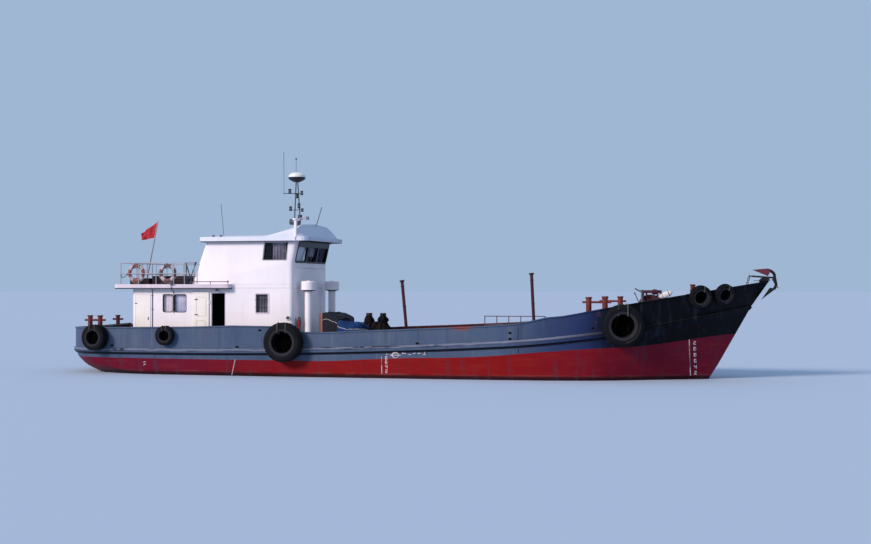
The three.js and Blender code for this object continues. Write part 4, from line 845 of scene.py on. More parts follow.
class Skin:
    """The outside of the hull and bulwarks, found by looking in from abeam."""

    pivot = -10.5

    def __init__(self) -> None:
        """Reads the three nodes' faces."""
        points: list[Vector] = []
        faces: list[list[int]] = []
        for node in ("hull", "bulwark_starboard", "bulwark_port"):
            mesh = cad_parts[node].data
            faces.extend([len(points) + i for i in face.vertices] for face in mesh.polygons)
            points.extend(vertex.co.copy() for vertex in mesh.vertices)
        self.tree = BVHTree.FromPolygons(points, faces)

    def stern(self, angle: float, z: float, out: float = 0.0) -> Vector:
        """The stern's place at a turn from dead astern and a height, seen from a point on the after deck.

        Args:
            angle: The turn in radians, positive to port.
            z: The height.
            out: How far out from the skin.

        Returns:
            The place.
        """
        way = Vector((-math.cos(angle), math.sin(angle), 0))
        where = self.tree.ray_cast(Vector((self.pivot, 0, z)) + 6 * way, -way)[0]
        return where + way * out

    def rail(self, x: float, hand: Hand) -> float:
        """The bulwark's height at an x."""
        z = self.deck(x) + 0.3
        while self.tree.ray_cast(Vector((x, hand.value * 6, z)), Vector((0, -hand.value, 0)), 5.9)[0]:
            z += 0.01
        return z

    def touch(self, x: float, z: float, hand: Hand, out: float = 0.0) -> Vector:
        """The side's place at an x and a height, moved out along the way it faces."""
        where, way, _, _ = self.tree.ray_cast(Vector((x, hand.value * 6, z)), Vector((0, -hand.value, 0)))
        if where is None:
            raise ValueError(f"nothing at x {x:.2f}, z {z:.2f}")
        return where + way * (out if way.y * hand.value > 0 else -out)

    def turn(self, x: float, z: float, hand: Hand) -> Vector:
        """The way that the side faces there."""
        _, way, _, _ = self.tree.ray_cast(Vector((x, hand.value * 6, z)), Vector((0, -hand.value, 0)))
        return way if way.y * hand.value > 0 else -way

    def deck(self, x: float, y: float = 0.0) -> float:
        """The deck's height."""
        return self.tree.ray_cast(Vector((x, y, 9)), Vector((0, 0, -1)))[0].z


@dataclass
class Yard:
    """What every sub-assembly shares: the two trees and the hull's skin."""

    sweep: Sweep = field(default_factory=Sweep)
    scatter: Scatter = field(default_factory=Scatter)
    skin: Skin = field(default_factory=Skin)


@dataclass
class Section:
    """A sub-assembly, with the yard that it is built in."""

    yard: Yard

    @property
    def skin(self) -> Skin:
        """The outside of the hull and bulwarks."""
        return self.yard.skin

    def bars(
        self, name: str, runs: Iterable[Sequence[Sequence[float]]], radius: float, finish: Finish, slot: str,
        body: str = "boat", **shape: float,
    ) -> Piece:
        """Lays bars along runs of points and fixes them.

        Args:
            name: The piece's name.
            runs: Each run's points, in metres.
            radius: The bar's radius.
            finish: What it is finished in.
            slot: The record's material slot.
            body: The body it rides on.
            shape: What the sweep takes besides.

        Returns:
            The piece.
        """
        return fit(self.yard.sweep.lay(name, runs, radius, finish, **shape), slot, body=body)

    def spread(
        self, name: str, shape: Form, places: Iterable[Matrix], finish: Finish, slot: str, body: str = "boat",
    ) -> Piece:
        """Sets a shape at many places and fixes the copies.

        Args:
            name: The piece's name.
            shape: The shape, about its own origin.
            places: A matrix for each copy.
            finish: What the copies are finished in.
            slot: The record's material slot.
            body: The body they ride on.

        Returns:
            The piece.
        """
        return fit(self.yard.scatter.set(name, shape, places, finish), slot, body=body)


@dataclass
class Hull(Section):
    """The plating, deck, bulwarks, rubbing bar and what is marked on the sides."""

    bar: float = 0.05
    bar_rise: float = 0.03
    bar_fore: float = 12.36
    rib_spacing: float = 0.467
    # x and height
    scuppers: tuple[tuple[float, float], ...] = (
        (4.62, 1.6), (4.62, 1.4), (1.4, 1.22), (-5.22, 1.03), (-4.36, 1.63), (-10.13, 1.03), (7.4, 1.78),
    )

    def build(self) -> None:
        """Builds the plating and its marks."""
        skin = self.skin
        reach = SIDE.reach
        places = (-12.4, -9, -7, -5, -3, -1, 1, 2.5, 4, 5, 6, 7, 8, 9, 10, 11, 12.2)
        # The middle of the painted shadow band under the rubbing bar, dropping further below the bar toward the bow.
        edge = [(x, skin.deck(x) + self.bar_rise - 0.12 - 0.0035 * (x + 12)) for x in places]
        side = replace(SIDE, line=((-reach, edge[0][1]), *edge, (reach, edge[-1][1] + 0.2)))
        deck = lambda at, way: 1 if way.z > 0.97 and at.z > 0.5 else 0
        fair_copy("hull", (side, DECK), crease=28, pick=deck, slot="hull_paint")
        for hand in Hand:
            self.bulwark(hand)
        self.rubbing_bar()
        self.marks()
        self.holes()
        self.ribs()

    def bulwark(self, hand: Hand) -> None:
        """One side's plate: painted outside, red inside, dark along the cap."""
        aft, fore = self.skin.pivot, 9.0

        def side_of(at: Vector, way: Vector) -> int:
            if way.z > 0.7:
                return 2
            centre = Vector((max(aft, min(at.x, fore)), 0, at.z))
            abeam = at.x < aft or way.y * hand.value > 0.3
            return 0 if abeam and way.dot((at - centre).normalized()) > 0.35 else 1

        fair_copy("bulwark_" + hand.word, (SIDE, INNER, CAP), crease=28, pick=side_of, slot="topside_paint")

    def strake_line(self) -> list[Vector]:
        """The strake's face from the starboard bow round the stern to the port bow."""
        skin, steps = self.skin, 80
        sides = []
        for hand in Hand:
            places = [self.bar_fore + (skin.pivot - self.bar_fore) * i / steps for i in range(steps)]
            sides.append([skin.touch(x, skin.deck(x) + self.bar_rise, hand, 0.012) for x in places])
        z = skin.deck(-12.3) + self.bar_rise
        stern = [skin.stern(math.radians(angle), z, 0.012) for angle in range(-90, 91, 6)]
        return sides[0] + stern + sides[1][::-1]

    def rubbing_bar(self) -> None:
        """The half-round bar on the strake."""
        self.bars("rubbing_bar", [self.strake_line()], self.bar, STRAKE, "hull_paint", sides=14, steps=1)

    def stroke(self, points: Iterable[tuple[float, float]], hand: Hand) -> list[Vector]:
        """A line of x and height pairs laid on the side."""
        return [self.skin.touch(x, z, hand, 0.002) for x, z in points]

    def figure(self, digit: str, x: float, z: float, hand: Hand, tall: float = 0.1) -> list[list[Vector]]:
        """One figure in straight strokes.

        Args:
            digit: The figure.
            x: Its aft edge.
            z: Its foot.
            hand: Which side it is on.
            tall: Its height.

        Returns:
            The strokes.
        """
        wide = tall * 0.55
        sign = -hand.value
        strokes = {
            "0": [band(0, 1, 0, 2)],
            "2": [[(0, 2), (1, 2), (1, 1), (0, 1), (0, 0), (1, 0)]],
            "4": [[(0, 2), (0, 1), (1, 1)], [(1, 2), (1, 0)]],
            "6": [[(1, 2), (0, 2), (0, 0), (1, 0), (1, 1), (0, 1)]],
            "8": [band(0, 1, 0, 2), [(0, 1), (1, 1)]],
        }[digit]
        return [
            self.stroke([(x + sign * wide * (u - 0.5), z + tall * v / 2) for u, v in line], hand) for line in strokes
        ]

    def marks(self) -> None:
        """Draught figures amidships and at the bow, the load line and its disc."""
        runs = []
        for hand in Hand:
            for x, lean, low, high, figures in ((0.12, 0.0, 0.16, 0.76, "2468"), (10.45, 0.02, 0.13, 1.38, "246802")):
                share = lambda z: x + lean * (z - low) / (high - low)
                runs.append(self.stroke([(share(z), z) for z in (low, low + 0.3, high - 0.3, high)], hand))
                rise = (high - low) / len(figures)
                for i, digit in enumerate(figures):
                    z = low + rise * i + 0.04
                    runs.extend(self.figure(digit, share(z) + 0.17, z, hand, 0.105))
            for size in (1.0, 0.84):
                ring = [(0.62 + 0.13 * size * c, 0.805 + 0.095 * size * s) for c, s in (*spokes(20), (1, 0))]
                runs.append(self.stroke(ring, hand))
            runs.append(self.stroke([(0.42, 0.805), (0.82, 0.805)], hand))
            for x, z, wide, tall in ((0.28, 0.83, 0.06, 0), (0.88, 0.84, 0, 0.07), (0.88, 0.87, 0.12, 0),
                                     (1.08, 0.83, 0.1, 0),
                                     (1.24, 0.86, 0.1, 0.03), (1.4, 0.88, 0.12, 0), (1.66, 0.83, 0, 0.1),
                                     (1.6, 0.84, 0.1, 0)):
                runs.append(self.stroke([(x, z), (x + wide, z + tall)], hand))
            for x, z in ((-8.9, 0.33), (-8.9, 0.42)):
                runs.append(self.stroke([(x, z), (x + 0.1, z + 0.05)], hand))
            runs.append(self.stroke([(-5.3, 0.58), (-5.45, 0.03)], hand))
        self.bars("draught_marks", runs, 0.014, MARK, "hull_paint", sides=6, steps=1)

    def holes(self) -> None:
        """Freeing ports, dark ovals painted as the shade in their openings, and the butt strap on the side."""
        form = Form()
        rims = []
        for hand in Hand:
            for x, z in self.scuppers:
                way = self.skin.turn(x, z, hand)
                place = facing(way, self.skin.touch(x, z, hand, 0.001))
                outline = [(0.055 * c, 0.028 * s) for c, s in spokes(16)]
                form.plate(outline, 0.004, place)
                rims.append([place @ Vector((u * 1.08, v * 1.12, 0.004)) for u, v in outline])
        # The freeing ports are dark ovals on the plate, painted as the shade in their openings.
        form.fix("freeing_ports", SHADE_BLACK, "topside_paint")
        self.bars("port_rims", rims, 0.007, CAP, "topside_paint", sides=6, steps=1, closed=True)
        straps = [[self.skin.touch(4.9, z, hand, 0.0) for z in (0.92, 1.05, 1.3, 1.5, 1.8)] for hand in Hand]
        self.bars("butt_strap", straps, 0.013, CAP, "topside_paint", sides=6, steps=1)

    def ribs(self) -> None:
        """The light flat bars inside the bulwark, between the stays, leaning with the plate."""
        skin, places = self.skin, []
        for hand in Hand:
            for i in range(50):
                x = -11.7 + self.rib_spacing * i
                foot, head = skin.deck(x), skin.rail(x, hand) - 0.08
                low = skin.touch(x, foot + 0.03, hand)
                up = skin.touch(x, head, hand) - low
                way = skin.turn(x, foot + 0.2, hand)
                inboard = -Vector((way.x, way.y, 0)).normalized()
                low += inboard * 0.028
                across = up.normalized().cross(inboard)
                turn = Matrix((inboard, across, up)).transposed().to_4x4()
                places.append(moved(low) @ turn)
        shape = Form().plate([(0.0, -0.007), (0.05, -0.007), (0.05, 0.007), (0.0, 0.007)], 1.0, Matrix())
        self.spread("bulwark_ribs", shape, places, RIB, "topside_paint")


def paint(node: str, finish: Finish) -> None:
    """Finishes a CAD node that stays as it is."""
    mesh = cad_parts[node].data
    mesh.materials.clear()
    mesh.materials.append(finish.material())


# Turns an outline drawn flat into one that stands up, facing along y.
STANDING = Matrix(((1, 0, 0, 0), (0, 0, -1, 0.006), (0, 1, 0, 0), (0, 0, 0, 1)))


def rounded_box(width: float, height: float, corner: float, steps: int = 5) -> list[tuple[float, float]]:
    """A rectangle's outline about its middle, with rounded corners.

    Args:
        width: Its width.
        height: Its height.
        corner: The corners' radius.
        steps: Points in each corner, less one.

    Returns:
        The points, anticlockwise.
    """
    middles = [(1, 1), (-1, 1), (-1, -1), (1, -1)]
    points = []
    for quarter, (sx, sy) in enumerate(middles):
        for i in range(steps + 1):
            angle = (quarter + i / steps) * math.pi / 2
            x = sx * (width / 2 - corner) + corner * math.cos(angle)
            points.append((x, sy * (height / 2 - corner) + corner * math.sin(angle)))
    return points


def on_side(hand: Hand, x: float, y: float, z: float) -> Matrix:
    """A place on a side wall: its own x runs along it, its y up and its z outboard."""
    turn = Matrix(((-hand.value, 0, 0), (0, 0, hand.value), (0, 1, 0)))
    return moved((x, hand.value * y, z)) @ turn.to_4x4()


def frame_round(form: Form, place: Matrix, hole: tuple[float, float], border: float, depth: float,
                corner: float = 0.05,
                back: float = 0.0) -> Form:
    """A flat frame round a hole.

    Args:
        form: The form that it joins.
        place: The hole's middle, with z pointing out of the wall.
        hole: The hole's width and height.
        border: How wide the frame is.
        depth: How far it stands out.
        corner: The radius of the hole's corners.
        back: How far it reaches in behind the place.

    Returns:
        The form.
    """
    width, height = hole
    inner = rounded_box(width, height, corner)
    outer = rounded_box(width + 2 * border, height + 2 * border, corner + border)
    rings = [
        [place @ Vector((x, y, z)) for x, y in outline]
        for outline, z in ((outer, -back), (outer, depth), (inner, depth), (inner, -back), (outer, -back))
    ]
    return form.loft(rings, capped=False)


def hanging(name: str, place: Matrix, size: tuple[float, float], folds: int, depth: float, finish: Finish) -> Piece:
    """A curtain in soft folds.

    Args:
        name: The piece's name.
        place: Its middle, with x across and y up.
        size: How wide and tall it hangs.
        folds: Folds across it.
        depth: How deep the folds are at the foot.
        finish: The cloth.

    Returns:
        The piece.
    """
    width, height = size
    across, down = folds * 8, 10
    rows = []
    for j in range(down + 1):
        v = j / down
        deep = depth * (0.55 + 0.45 * (1 - v))
        row = []
        for i in range(across + 1):
            u = i / across
            angle = 2 * math.pi * folds * u
            z = deep * (math.sin(angle) + 0.3 * math.sin(2.3 * angle + 1))
            row.append(place @ Vector((width * (u - 0.5), height * (v - 0.5), z)))
        rows.append(row)
    made = Form().loft(rows, closed=False).piece(name, finish)
    fit(made)
    return made


@dataclass
class House(Section):
    """The deckhouse, wheelhouse, their openings and what is fixed on the walls."""

    half: float = 1.85
    front: float = -3.43
    lean: float = 0.225
    # middle x, middle z, width, height of the openings in each side wall
    ports: tuple[tuple[float, float, float, float], ...] = (
        (-8.255, 2.56, 0.39, 0.64), (-7.77, 2.56, 0.46, 0.64), (-4.605, 2.56, 0.51, 0.68),
    )
    doorway: tuple[float, float, float, float] = (-6.56, -6.0, 1.08, 2.95)
    # the four corners of the opening in the wheelhouse's side, aft foot first
    bridge: tuple[tuple[float, float], ...] = ((-4.56, 4.12), (-3.68, 4.12), (-3.62, 4.74), (-4.49, 4.74))
    eave: tuple[float, float, float] = (-10.3, -5.75, 2.1)
    front_windows: tuple[float, ...] = (-1.1, 0.0, 1.1)

    def build(self) -> None:
        """Builds the walls, then what is on them."""
        self.walls()
        self.linings()
        self.side_windows()
        self.bridge_windows()
        self.front_band()
        self.curtains()
        self.doorways()
        self.edges()
        self.fixtures()
        self.vents()
        self.after_wall()

    def walls(self) -> None:
        """The walls, white outside and painted dark inside as the shade of the rooms, with the platform and the
        panes.
        """

        def side_of(at: Vector, way: Vector) -> int:
            middle = Vector((-5.2, 0, at.z))
            outward = way.dot(Vector((at.x - middle.x, at.y, 0)).normalized())
            inner = abs(at.y) < self.half - 0.03 and -9.66 < at.x < -3.2
            # Inward faces take the painted shade of the rooms.
            return 1 if inner and outward < 0.2 and abs(way.z) < 0.5 else 0

        for hand in Hand:
            for storey in ("deckhouse", "wheelhouse"):
                fair_copy(f"{storey}_side_{hand.word}", (WHITE, INSIDE_SHADE), edge=0.006, pick=side_of, slot="house_paint")
        for node in ("deckhouse_front_wall", "deckhouse_aft_wall", "wheelhouse_aft_wall", "wheelhouse_front_wall"):
            fair_copy(node, (WHITE, INSIDE_SHADE), edge=0.006, pick=side_of, slot="house_paint")

        def part_of(at: Vector, way: Vector) -> int:
            # The platform's underside over the rooms takes the painted shade.
            if way.z < -0.9 and abs(at.y) < 1.75 and -9.6 < at.x < -3.5:
                return 1
            return 2 if at.x > -5.7 else 0

        fair_copy("platform_deck", (EAVE, INSIDE_SHADE, WHITE), edge=0.012, pick=part_of, slot="house_paint")
        fair_copy("helm_console", (STEEL,), edge=0.006, slot="dark_steel")
        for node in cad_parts:
            if "glass" in node:
                paint(node, FRONT_PANE if "front" in node else PANE_PALE if "deckhouse" in node else PANE)

    def linings(self) -> None:
        """The passage's bulkheads and floor, and the wheelhouse's ceiling and the screen down its middle, painted
        dark as the shade behind the openings.
        """
        form = Form()
        for hand in Hand:
            y = hand.value * 0.95
            form.block((-9.6, min(y, y + 0.02), 0.95), (-3.55, max(y, y + 0.02), 3.1))
        form.block((-9.6, -1.7, 1.0), (-3.55, 1.7, 1.03))
        for x in (-6.95, -5.6):
            for hand in Hand:
                low, high = sorted((hand.value * 0.96, hand.value * 1.77))
                form.block((x, low, 1.03), (x + 0.02, high, 3.1))
        # The passage's walls and floor, near black as its painted shade.
        form.fix("passage_bulkheads", PASSAGE_SHADE, "dark_steel")
        # The wheelhouse's ceiling, and a screen down its middle that hides the far windows, in the inside's painted
        # shade.
        inner = Form().block((-6.6, -1.75, 4.74), (-3.45, 1.75, 4.78))
        inner.block((-6.6, -0.02, 3.3), (-4.25, 0.02, 4.74))
        inner.fix("wheelhouse_linings", INSIDE_SHADE, "house_paint", 0.004)

    def side_windows(self) -> None:
        """Dark rounded frames round the deckhouse's windows, with bars over the forward ones."""
        form, bars, rims = Form(), [], Form()
        for hand in Hand:
            for i, (x, z, width, height) in enumerate(self.ports):
                place = on_side(hand, x, self.half, z)
                if i < 2:
                    frame_round(form, place, (width - 0.02, height - 0.02), 0.022, 0.014, 0.06, back=0.03)
                else:
                    frame_round(rims, place @ moved((0.015, 0, 0)), (width - 0.07, height - 0.03), 0.055,
                                0.014, 0.02, back=0.03)
                    for k in range(5):
                        u = width * ((k + 0.5) / 5 - 0.5)
                        bars.append([place @ Vector((u, side * height / 2, 0.008)) for side in (-1, 1)])
                    for v in (-0.2, 0.2):
                        bars.append([place @ Vector((side * width / 2, v * height, 0.008)) for side in (-1, 1)])
        form.fix("window_frames", FRAME, "dark_steel", 0.004)
        rims.fix("window_surrounds", EAVE, "house_paint", 0.003)
        self.bars("window_bars", bars, 0.011, FRAME, "dark_steel", sides=8)

    def bridge_windows(self) -> None:
        """The wheelhouse's side windows: a dark frame and a post."""
        form = Form()
        for hand in Hand:
            middle = [sum(c[k] for c in self.bridge) / 4 for k in (0, 1)]
            outlines = []
            for grow in (0.016, -0.014):
                ring = []
                for x, z in self.bridge:
                    ring.append((x + math.copysign(grow, x - middle[0]), z + math.copysign(grow, z - middle[1])))
                outlines.append(ring)
            rings = []
            for outline, out in ((outlines[0], -0.004), (outlines[0], 0.016), (outlines[1], 0.016),
                                 (outlines[1], -0.05), (outlines[0], -0.004)):
                rings.append([Vector((x, hand.value * (self.half + out), z)) for x, z in outline])
            form.loft(rings, capped=False)
            y = sorted((hand.value * (self.half - 0.045), hand.value * (self.half - 0.02)))
            form.block((-4.275, y[0], 4.12), (-4.25, y[1], 4.74))
        form.fix("bridge_window_frames", NAVY, "dark_steel", 0.004)

    def front_place(self, y: float, z: float) -> Matrix:
        """A place on the wheelhouse's leaning front: x to port, y up the wall, z outwards."""
        up = Vector((self.lean, 0, 1)).normalized()
        across = Vector((0, 1, 0))
        turn = Matrix((across, up, across.cross(up))).transposed().to_4x4()
        return moved((self.front + self.lean * (z - 4.0), y, z)) @ turn

    def front_band(self) -> None:
        """The navy band that frames the three front windows, with their rounded openings and wipers; its broad head
        also stands for the shadow under the roof's visor.
        """
        form, wipers = Form(), []
        for y in self.front_windows:
            width = 1.0 if y == 0 else 1.04
            place = self.front_place(y, 4.4)
            frame_round(form, place, (width - 0.03, 0.66), 0.06, 0.02, 0.07, back=0.05)
            wipers.append([place @ Vector(p) for p in ((-0.2, -0.36, 0.03), (0.05, -0.1, 0.035), (0.1, 0.2, 0.03))])
        frame_round(form, self.front_place(0, 4.41), (3.2, 0.7), 0.045, 0.016, 0.03)
        # The band's broad head over the windows, navy as the painted shadow under the visor as well as the band.
        form.plate(rounded_box(3.24, 0.2, 0.02), 0.026, self.front_place(0, 4.69))
        form.fix("front_window_frames", NAVY, "dark_steel", 0.005)
        self.bars("wipers", wipers, 0.009, STEEL, "dark_steel", bend=0.05, sides=6)
        rail = [self.front_place(y, z) @ Vector((0, 0, 0.05)) for y, z in ((-1.5, 3.86), (1.5, 3.86))]
        feet = [[self.front_place(y, 3.86) @ Vector((0, 0, d)) for d in (0.0, 0.05)] for y in (-1.4, -0.5, 0.5, 1.4)]
        self.bars("front_grab_rail", [rail, *feet], 0.016, WHITE, "house_paint", sides=8)

    def curtains(self) -> None:
        """Curtains behind the side windows and behind the wheelhouse's front, and behind the third front window a
        navy sheet painted as the shade inside.
        """
        inside = self.half - 0.098
        for hand in Hand:
            for i, (x, z, width, height) in enumerate(self.ports):
                finish = (CURTAIN_PINK, CURTAIN_BLUE, CURTAIN)[i]
                place = on_side(hand, x, inside, z)
                hanging(f"curtain_{i + 1}_{hand.word}", place, (width + 0.02, height + 0.03), 5, 0.016, finish)
            place = on_side(hand, -3.97, inside, 4.43)
            hanging(f"bridge_curtain_{hand.word}", place, (0.5, 0.64), 4, 0.02, CURTAIN)
        # The third sheet is no curtain: navy, painted as the shade inside the wheelhouse.
        front_sheets = ((-1.08, 4.38, 0.62, CURTAIN_ICE), (0.0, 4.47, 0.46, CURTAIN), (1.08, 4.38, 0.62, FRONT_SHADE_SHEET))
        for i, (y, z, tall, finish) in enumerate(front_sheets, 1):
            place = self.front_place(y, z) @ moved((0, 0, -0.105))
            hanging(f"front_curtain_{i}", place, (1.02, tall), 7, 0.014, finish)

    def doorways(self) -> None:
        """The lining of each doorway and the step under it."""
        aft, fore, sill, head = self.doorway
        form, steps = Form(), Form()
        thick = 0.03
        for hand in Hand:
            y = sorted((hand.value * (self.half - 0.003), hand.value * (self.half - 0.065)))
            form.block((aft, y[0], sill), (aft + thick, y[1], head))
            form.block((fore - thick, y[0], sill), (fore, y[1], head))
            form.block((aft + thick, y[0], head - thick), (fore - thick, y[1], head))
            form.block((aft + thick, y[0], sill), (fore - thick, y[1], sill + thick))
            tread = sorted((hand.value * (self.half + 0.012), hand.value * (self.half + 0.16)))
            steps.block((aft + 0.04, tread[0], 0.985), (fore - 0.04, tread[1], 1.005))
        form.fix("doorway_linings", LAVENDER, "house_paint", 0.004)
        steps.fix("doorway_steps", STEEL, "dark_steel", 0.004)

    def edges(self) -> None:
        """A dark bar under the eave's edge painted as its shadow, the dark battens under the roof, and the rail on
        the eave's top.
        """
        aft, fore, half = self.eave
        inset = 0.012
        eave = [
            (fore - inset, -self.half - 0.012), (fore - inset, -half + inset), (aft + inset, -half + inset),
            (aft + inset, half - inset), (fore - inset, half - inset), (fore - inset, self.half + 0.012),
        ]
        # A dark bar round the eave's foot, painted as the shadow under its edge.
        batten = [[(x, y, 3.1) for x, y in eave]]
        self.bars("eave_batten", batten, 0.024, TRIM, "house_paint", bend=0.12, sides=8)
        roof = [[(-6.9, y, 4.79), (-3.3, y, 4.79)] for y in (-2.02, 2.02)] + [[(-6.98, -1.8, 4.79),
                                                                               (-6.98, 1.8, 4.79)]]
        self.bars("roof_batten", roof, 0.017, TRIM, "house_paint", sides=8)
        rails = []
        for hand in Hand:
            y = hand.value * 2.06
            rails.append([(-7.3, y, 3.34), (-5.82, y, 3.34), (-5.82, y, 3.26)])
            rails.extend([[(x, y, 3.25), (x, y, 3.34)] for x in (-7.25, -6.5)])
        self.bars("eave_rail", rails, 0.014, TRIM, "dark_steel", bend=0.03, sides=8)
        knob = [moved((-5.82, hand.value * 2.06, 3.345)) for hand in Hand]
        ball = Form().lathe([(0, -0.03), (0.028, -0.02), (0.034, 0.005), (0.022, 0.03), (0, 0.036)], sides=16)
        self.spread("eave_knobs", ball, knob, TRIM, "dark_steel")

    def fixtures(self) -> None:
        """Pipes, straps, lamps and lockers fixed on the side walls."""
        pipes, clamps, dishes, rings, dots = [], [], [], Form(), []
        out = self.half + 0.02
        for hand in Hand:
            y = hand.value * out
            edge = hand.value * 2.135
            pipes.append([(-8.02, y, 2.2), (-8.02, y, 2.98), (-8.0, edge, 3.08), (-8.0, edge, 3.3)])
            pipes.append([(-8.87, y, 0.98), (-8.87, y, 3.08)])
            clamps.extend(facing((0, hand.value, 0), (-8.87, hand.value * self.half, z)) for z in (1.4, 2.35, 2.85))
            dishes.append(facing((0, 0.3 * hand.value, -1), (-7.98, edge, 3.34)))
            dishes.append(facing((0, 0, -1), (-6.28, hand.value * 1.99, 3.1)))
            place = facing((0, hand.value, 0), (-3.6, hand.value * self.half, 2.05))
            ring = [(0.06, 0.0), (0.085, 0.0), (0.09, 0.02), (0.075, 0.035), (0.058, 0.03), (0.06, 0.0)]
            rings.lathe(ring, place.translation, (0, hand.value, 0), 28)
            dots.append(place)
        self.bars("wall_pipes", pipes, 0.012, TRIM, "dark_steel", bend=0.04, sides=8)
        clamp = Form().plate(rounded_box(0.07, 0.026, 0.01, 2), 0.034, Matrix())
        self.spread("pipe_clamps", clamp, clamps, TRIM, "dark_steel")
        dish = Form().lathe([(0, 0), (0.03, 0), (0.035, 0.03), (0.085, 0.09), (0.08, 0.092), (0.03, 0.05), (0, 0.05)])
        self.spread("eave_lamps", dish, dishes, STEEL, "dark_steel")
        rings.fix("side_light_rings", BUOY_WHITE, "dark_steel", 0.003)
        self.locker_doors()
        lens = Form().lathe([(0, 0), (0.056, 0), (0.05, 0.018), (0.025, 0.028), (0, 0.03)], sides=20)
        self.spread("side_light_lenses", lens, dots, FRAME, "dark_steel")
        self.extinguisher()

    def locker_doors(self) -> None:
        """The flush cream door of the locker at the deckhouse's after end, with its hinges and handle."""
        leaf, rim, iron = Form(), Form(), Form()
        for hand in Hand:
            place = on_side(hand, -9.25, self.half, 1.95)
            leaf.plate(rounded_box(0.57, 1.84, 0.05), 0.012, place)
            frame_round(rim, place, (0.575, 1.85), 0.02, 0.016, 0.05)
            for u, v, wide, tall in ((-0.27, 0.6, 0.09, 0.03), (-0.27, -0.6, 0.09, 0.03), (0.22, 0.05, 0.03, 0.12)):
                iron.plate(rounded_box(wide, tall, 0.01, 2), 0.024, place @ moved((u, v, 0)))
        leaf.fix("locker_door_leaves", CREAM, "door_paint", 0.003)
        rim.fix("locker_door_rims", WHITE, "house_paint", 0.003)
        iron.fix("locker_door_irons", FRAME, "dark_steel", 0.002)

    def extinguisher(self) -> None:
        """The red bottle in its bracket on the front wall, with its hose and head."""
        at = (-3.315, -1.52, 1.62)
        bottle = [(0, 0), (0.06, 0), (0.072, 0.02), (0.072, 0.3), (0.06, 0.35), (0.025, 0.375), (0.02, 0.4), (0, 0.4)]
        form = Form().lathe(bottle, at, sides=28)
        form.fix("fire_bottle", FIRE_RED)
        form = Form().lathe([(0, 0.4), (0.026, 0.4), (0.03, 0.44), (0.012, 0.47), (0, 0.47)], at, sides=16)
        for z in (0.08, 0.27):
            form.lathe([(0.072, z), (0.078, z), (0.078, z + 0.03), (0.072, z + 0.03), (0.072, z)], at, sides=28)
        form.block((-3.43, -1.55, 1.6), (-3.415, -1.49, 2.05))
        form.block((-3.43, -1.6, 1.59), (-3.25, -1.44, 1.615))
        form.fix("fire_bottle_bracket", STEEL, "dark_steel", 0.002)
        x, y, z = at
        hose = [[(x, y, z + 0.45), (x + 0.07, y - 0.03, z + 0.44), (x + 0.085, y - 0.03, z + 0.2)]]
        self.bars("fire_bottle_hose", hose, 0.011, TYRE, "dark_steel", bend=0.05, sides=8)

    def vents(self) -> None:
        """The mushroom vents, painted dark under their caps as the shade there, with the band and the handle that
        closes them.
        """
        for hand in Hand:
            # Faces under the cap take the painted shade.
            under = lambda at, way: 1 if way.z < -0.6 and at.z > 2.9 else 0
            fair_copy("vent_" + hand.word, (WHITE, SHADE_BLACK), crease=32, pick=under, slot="house_paint")
            form = Form()
            at = (-3.03, hand.value * 1.3, 0)
            form.lathe(band(0.13, 0.152, 1.02, 1.06), at, sides=32)
            # A near-black ring under the cap, painted as its shadow.
            dark = [(0.13, 3.0), (0.262, 3.03), (0.262, 3.048), (0.13, 3.048), (0.13, 3.0)]
            Form().lathe(dark, at, sides=40).fix(f"vent_throat_{hand.word}", SHADE_BLACK, "house_paint")
            form.lathe([(0, 3.355), (0.06, 3.355), (0.07, 3.375), (0.02, 3.39), (0, 3.39)], at, sides=20)
            form.lathe(band(0.274, 0.281, 3.045, 3.075), at, sides=48)
            form.fix(f"vent_bands_{hand.word}", WHITE, "house_paint", 0.002)

    def after_wall(self) -> None:
        """The wheelhouse's after port lights and the ladder from the deck to the platform."""
        form, panes = Form(), Form()
        up = Vector((0.27, 0, 0.75)).normalized()
        across = Vector((0, -1, 0))
        turn = Matrix((across, up, across.cross(up))).transposed().to_4x4()
        for y in (-0.9, 0.9):
            z = 4.25
            x = -7.068 + (z - 4.0) * 0.29 / 0.8
            place = moved((x, y, z)) @ turn
            frame_round(form, place, (0.42, 0.4), 0.045, 0.022, 0.1, back=0.004)
            panes.plate(rounded_box(0.44, 0.42, 0.11), 0.008, place)
        form.fix("after_light_frames", FRAME, "dark_steel", 0.004)
        panes.fix("after_light_panes", FRAME, "glass")
        foot = self.skin.deck(-9.9)
        rails = [[(-10.0, y, foot), (-10.36, y, 3.2), (-10.36, y, 4.05), (-10.12, y, 4.05)] for y in (0.35, 0.75)]
        rungs = []
        for i in range(8):
            share = (i + 1) / 9
            z = foot + (3.2 - foot) * share
            rungs.append([(-10.0 - 0.36 * share, y, z) for y in (0.35, 0.75)])
        self.bars("platform_ladder_rails", rails, 0.022, RAIL, "rail_paint", bend=0.08, sides=10)
        self.bars("platform_ladder_rungs", rungs, 0.014, RAIL, "rail_paint", sides=8)


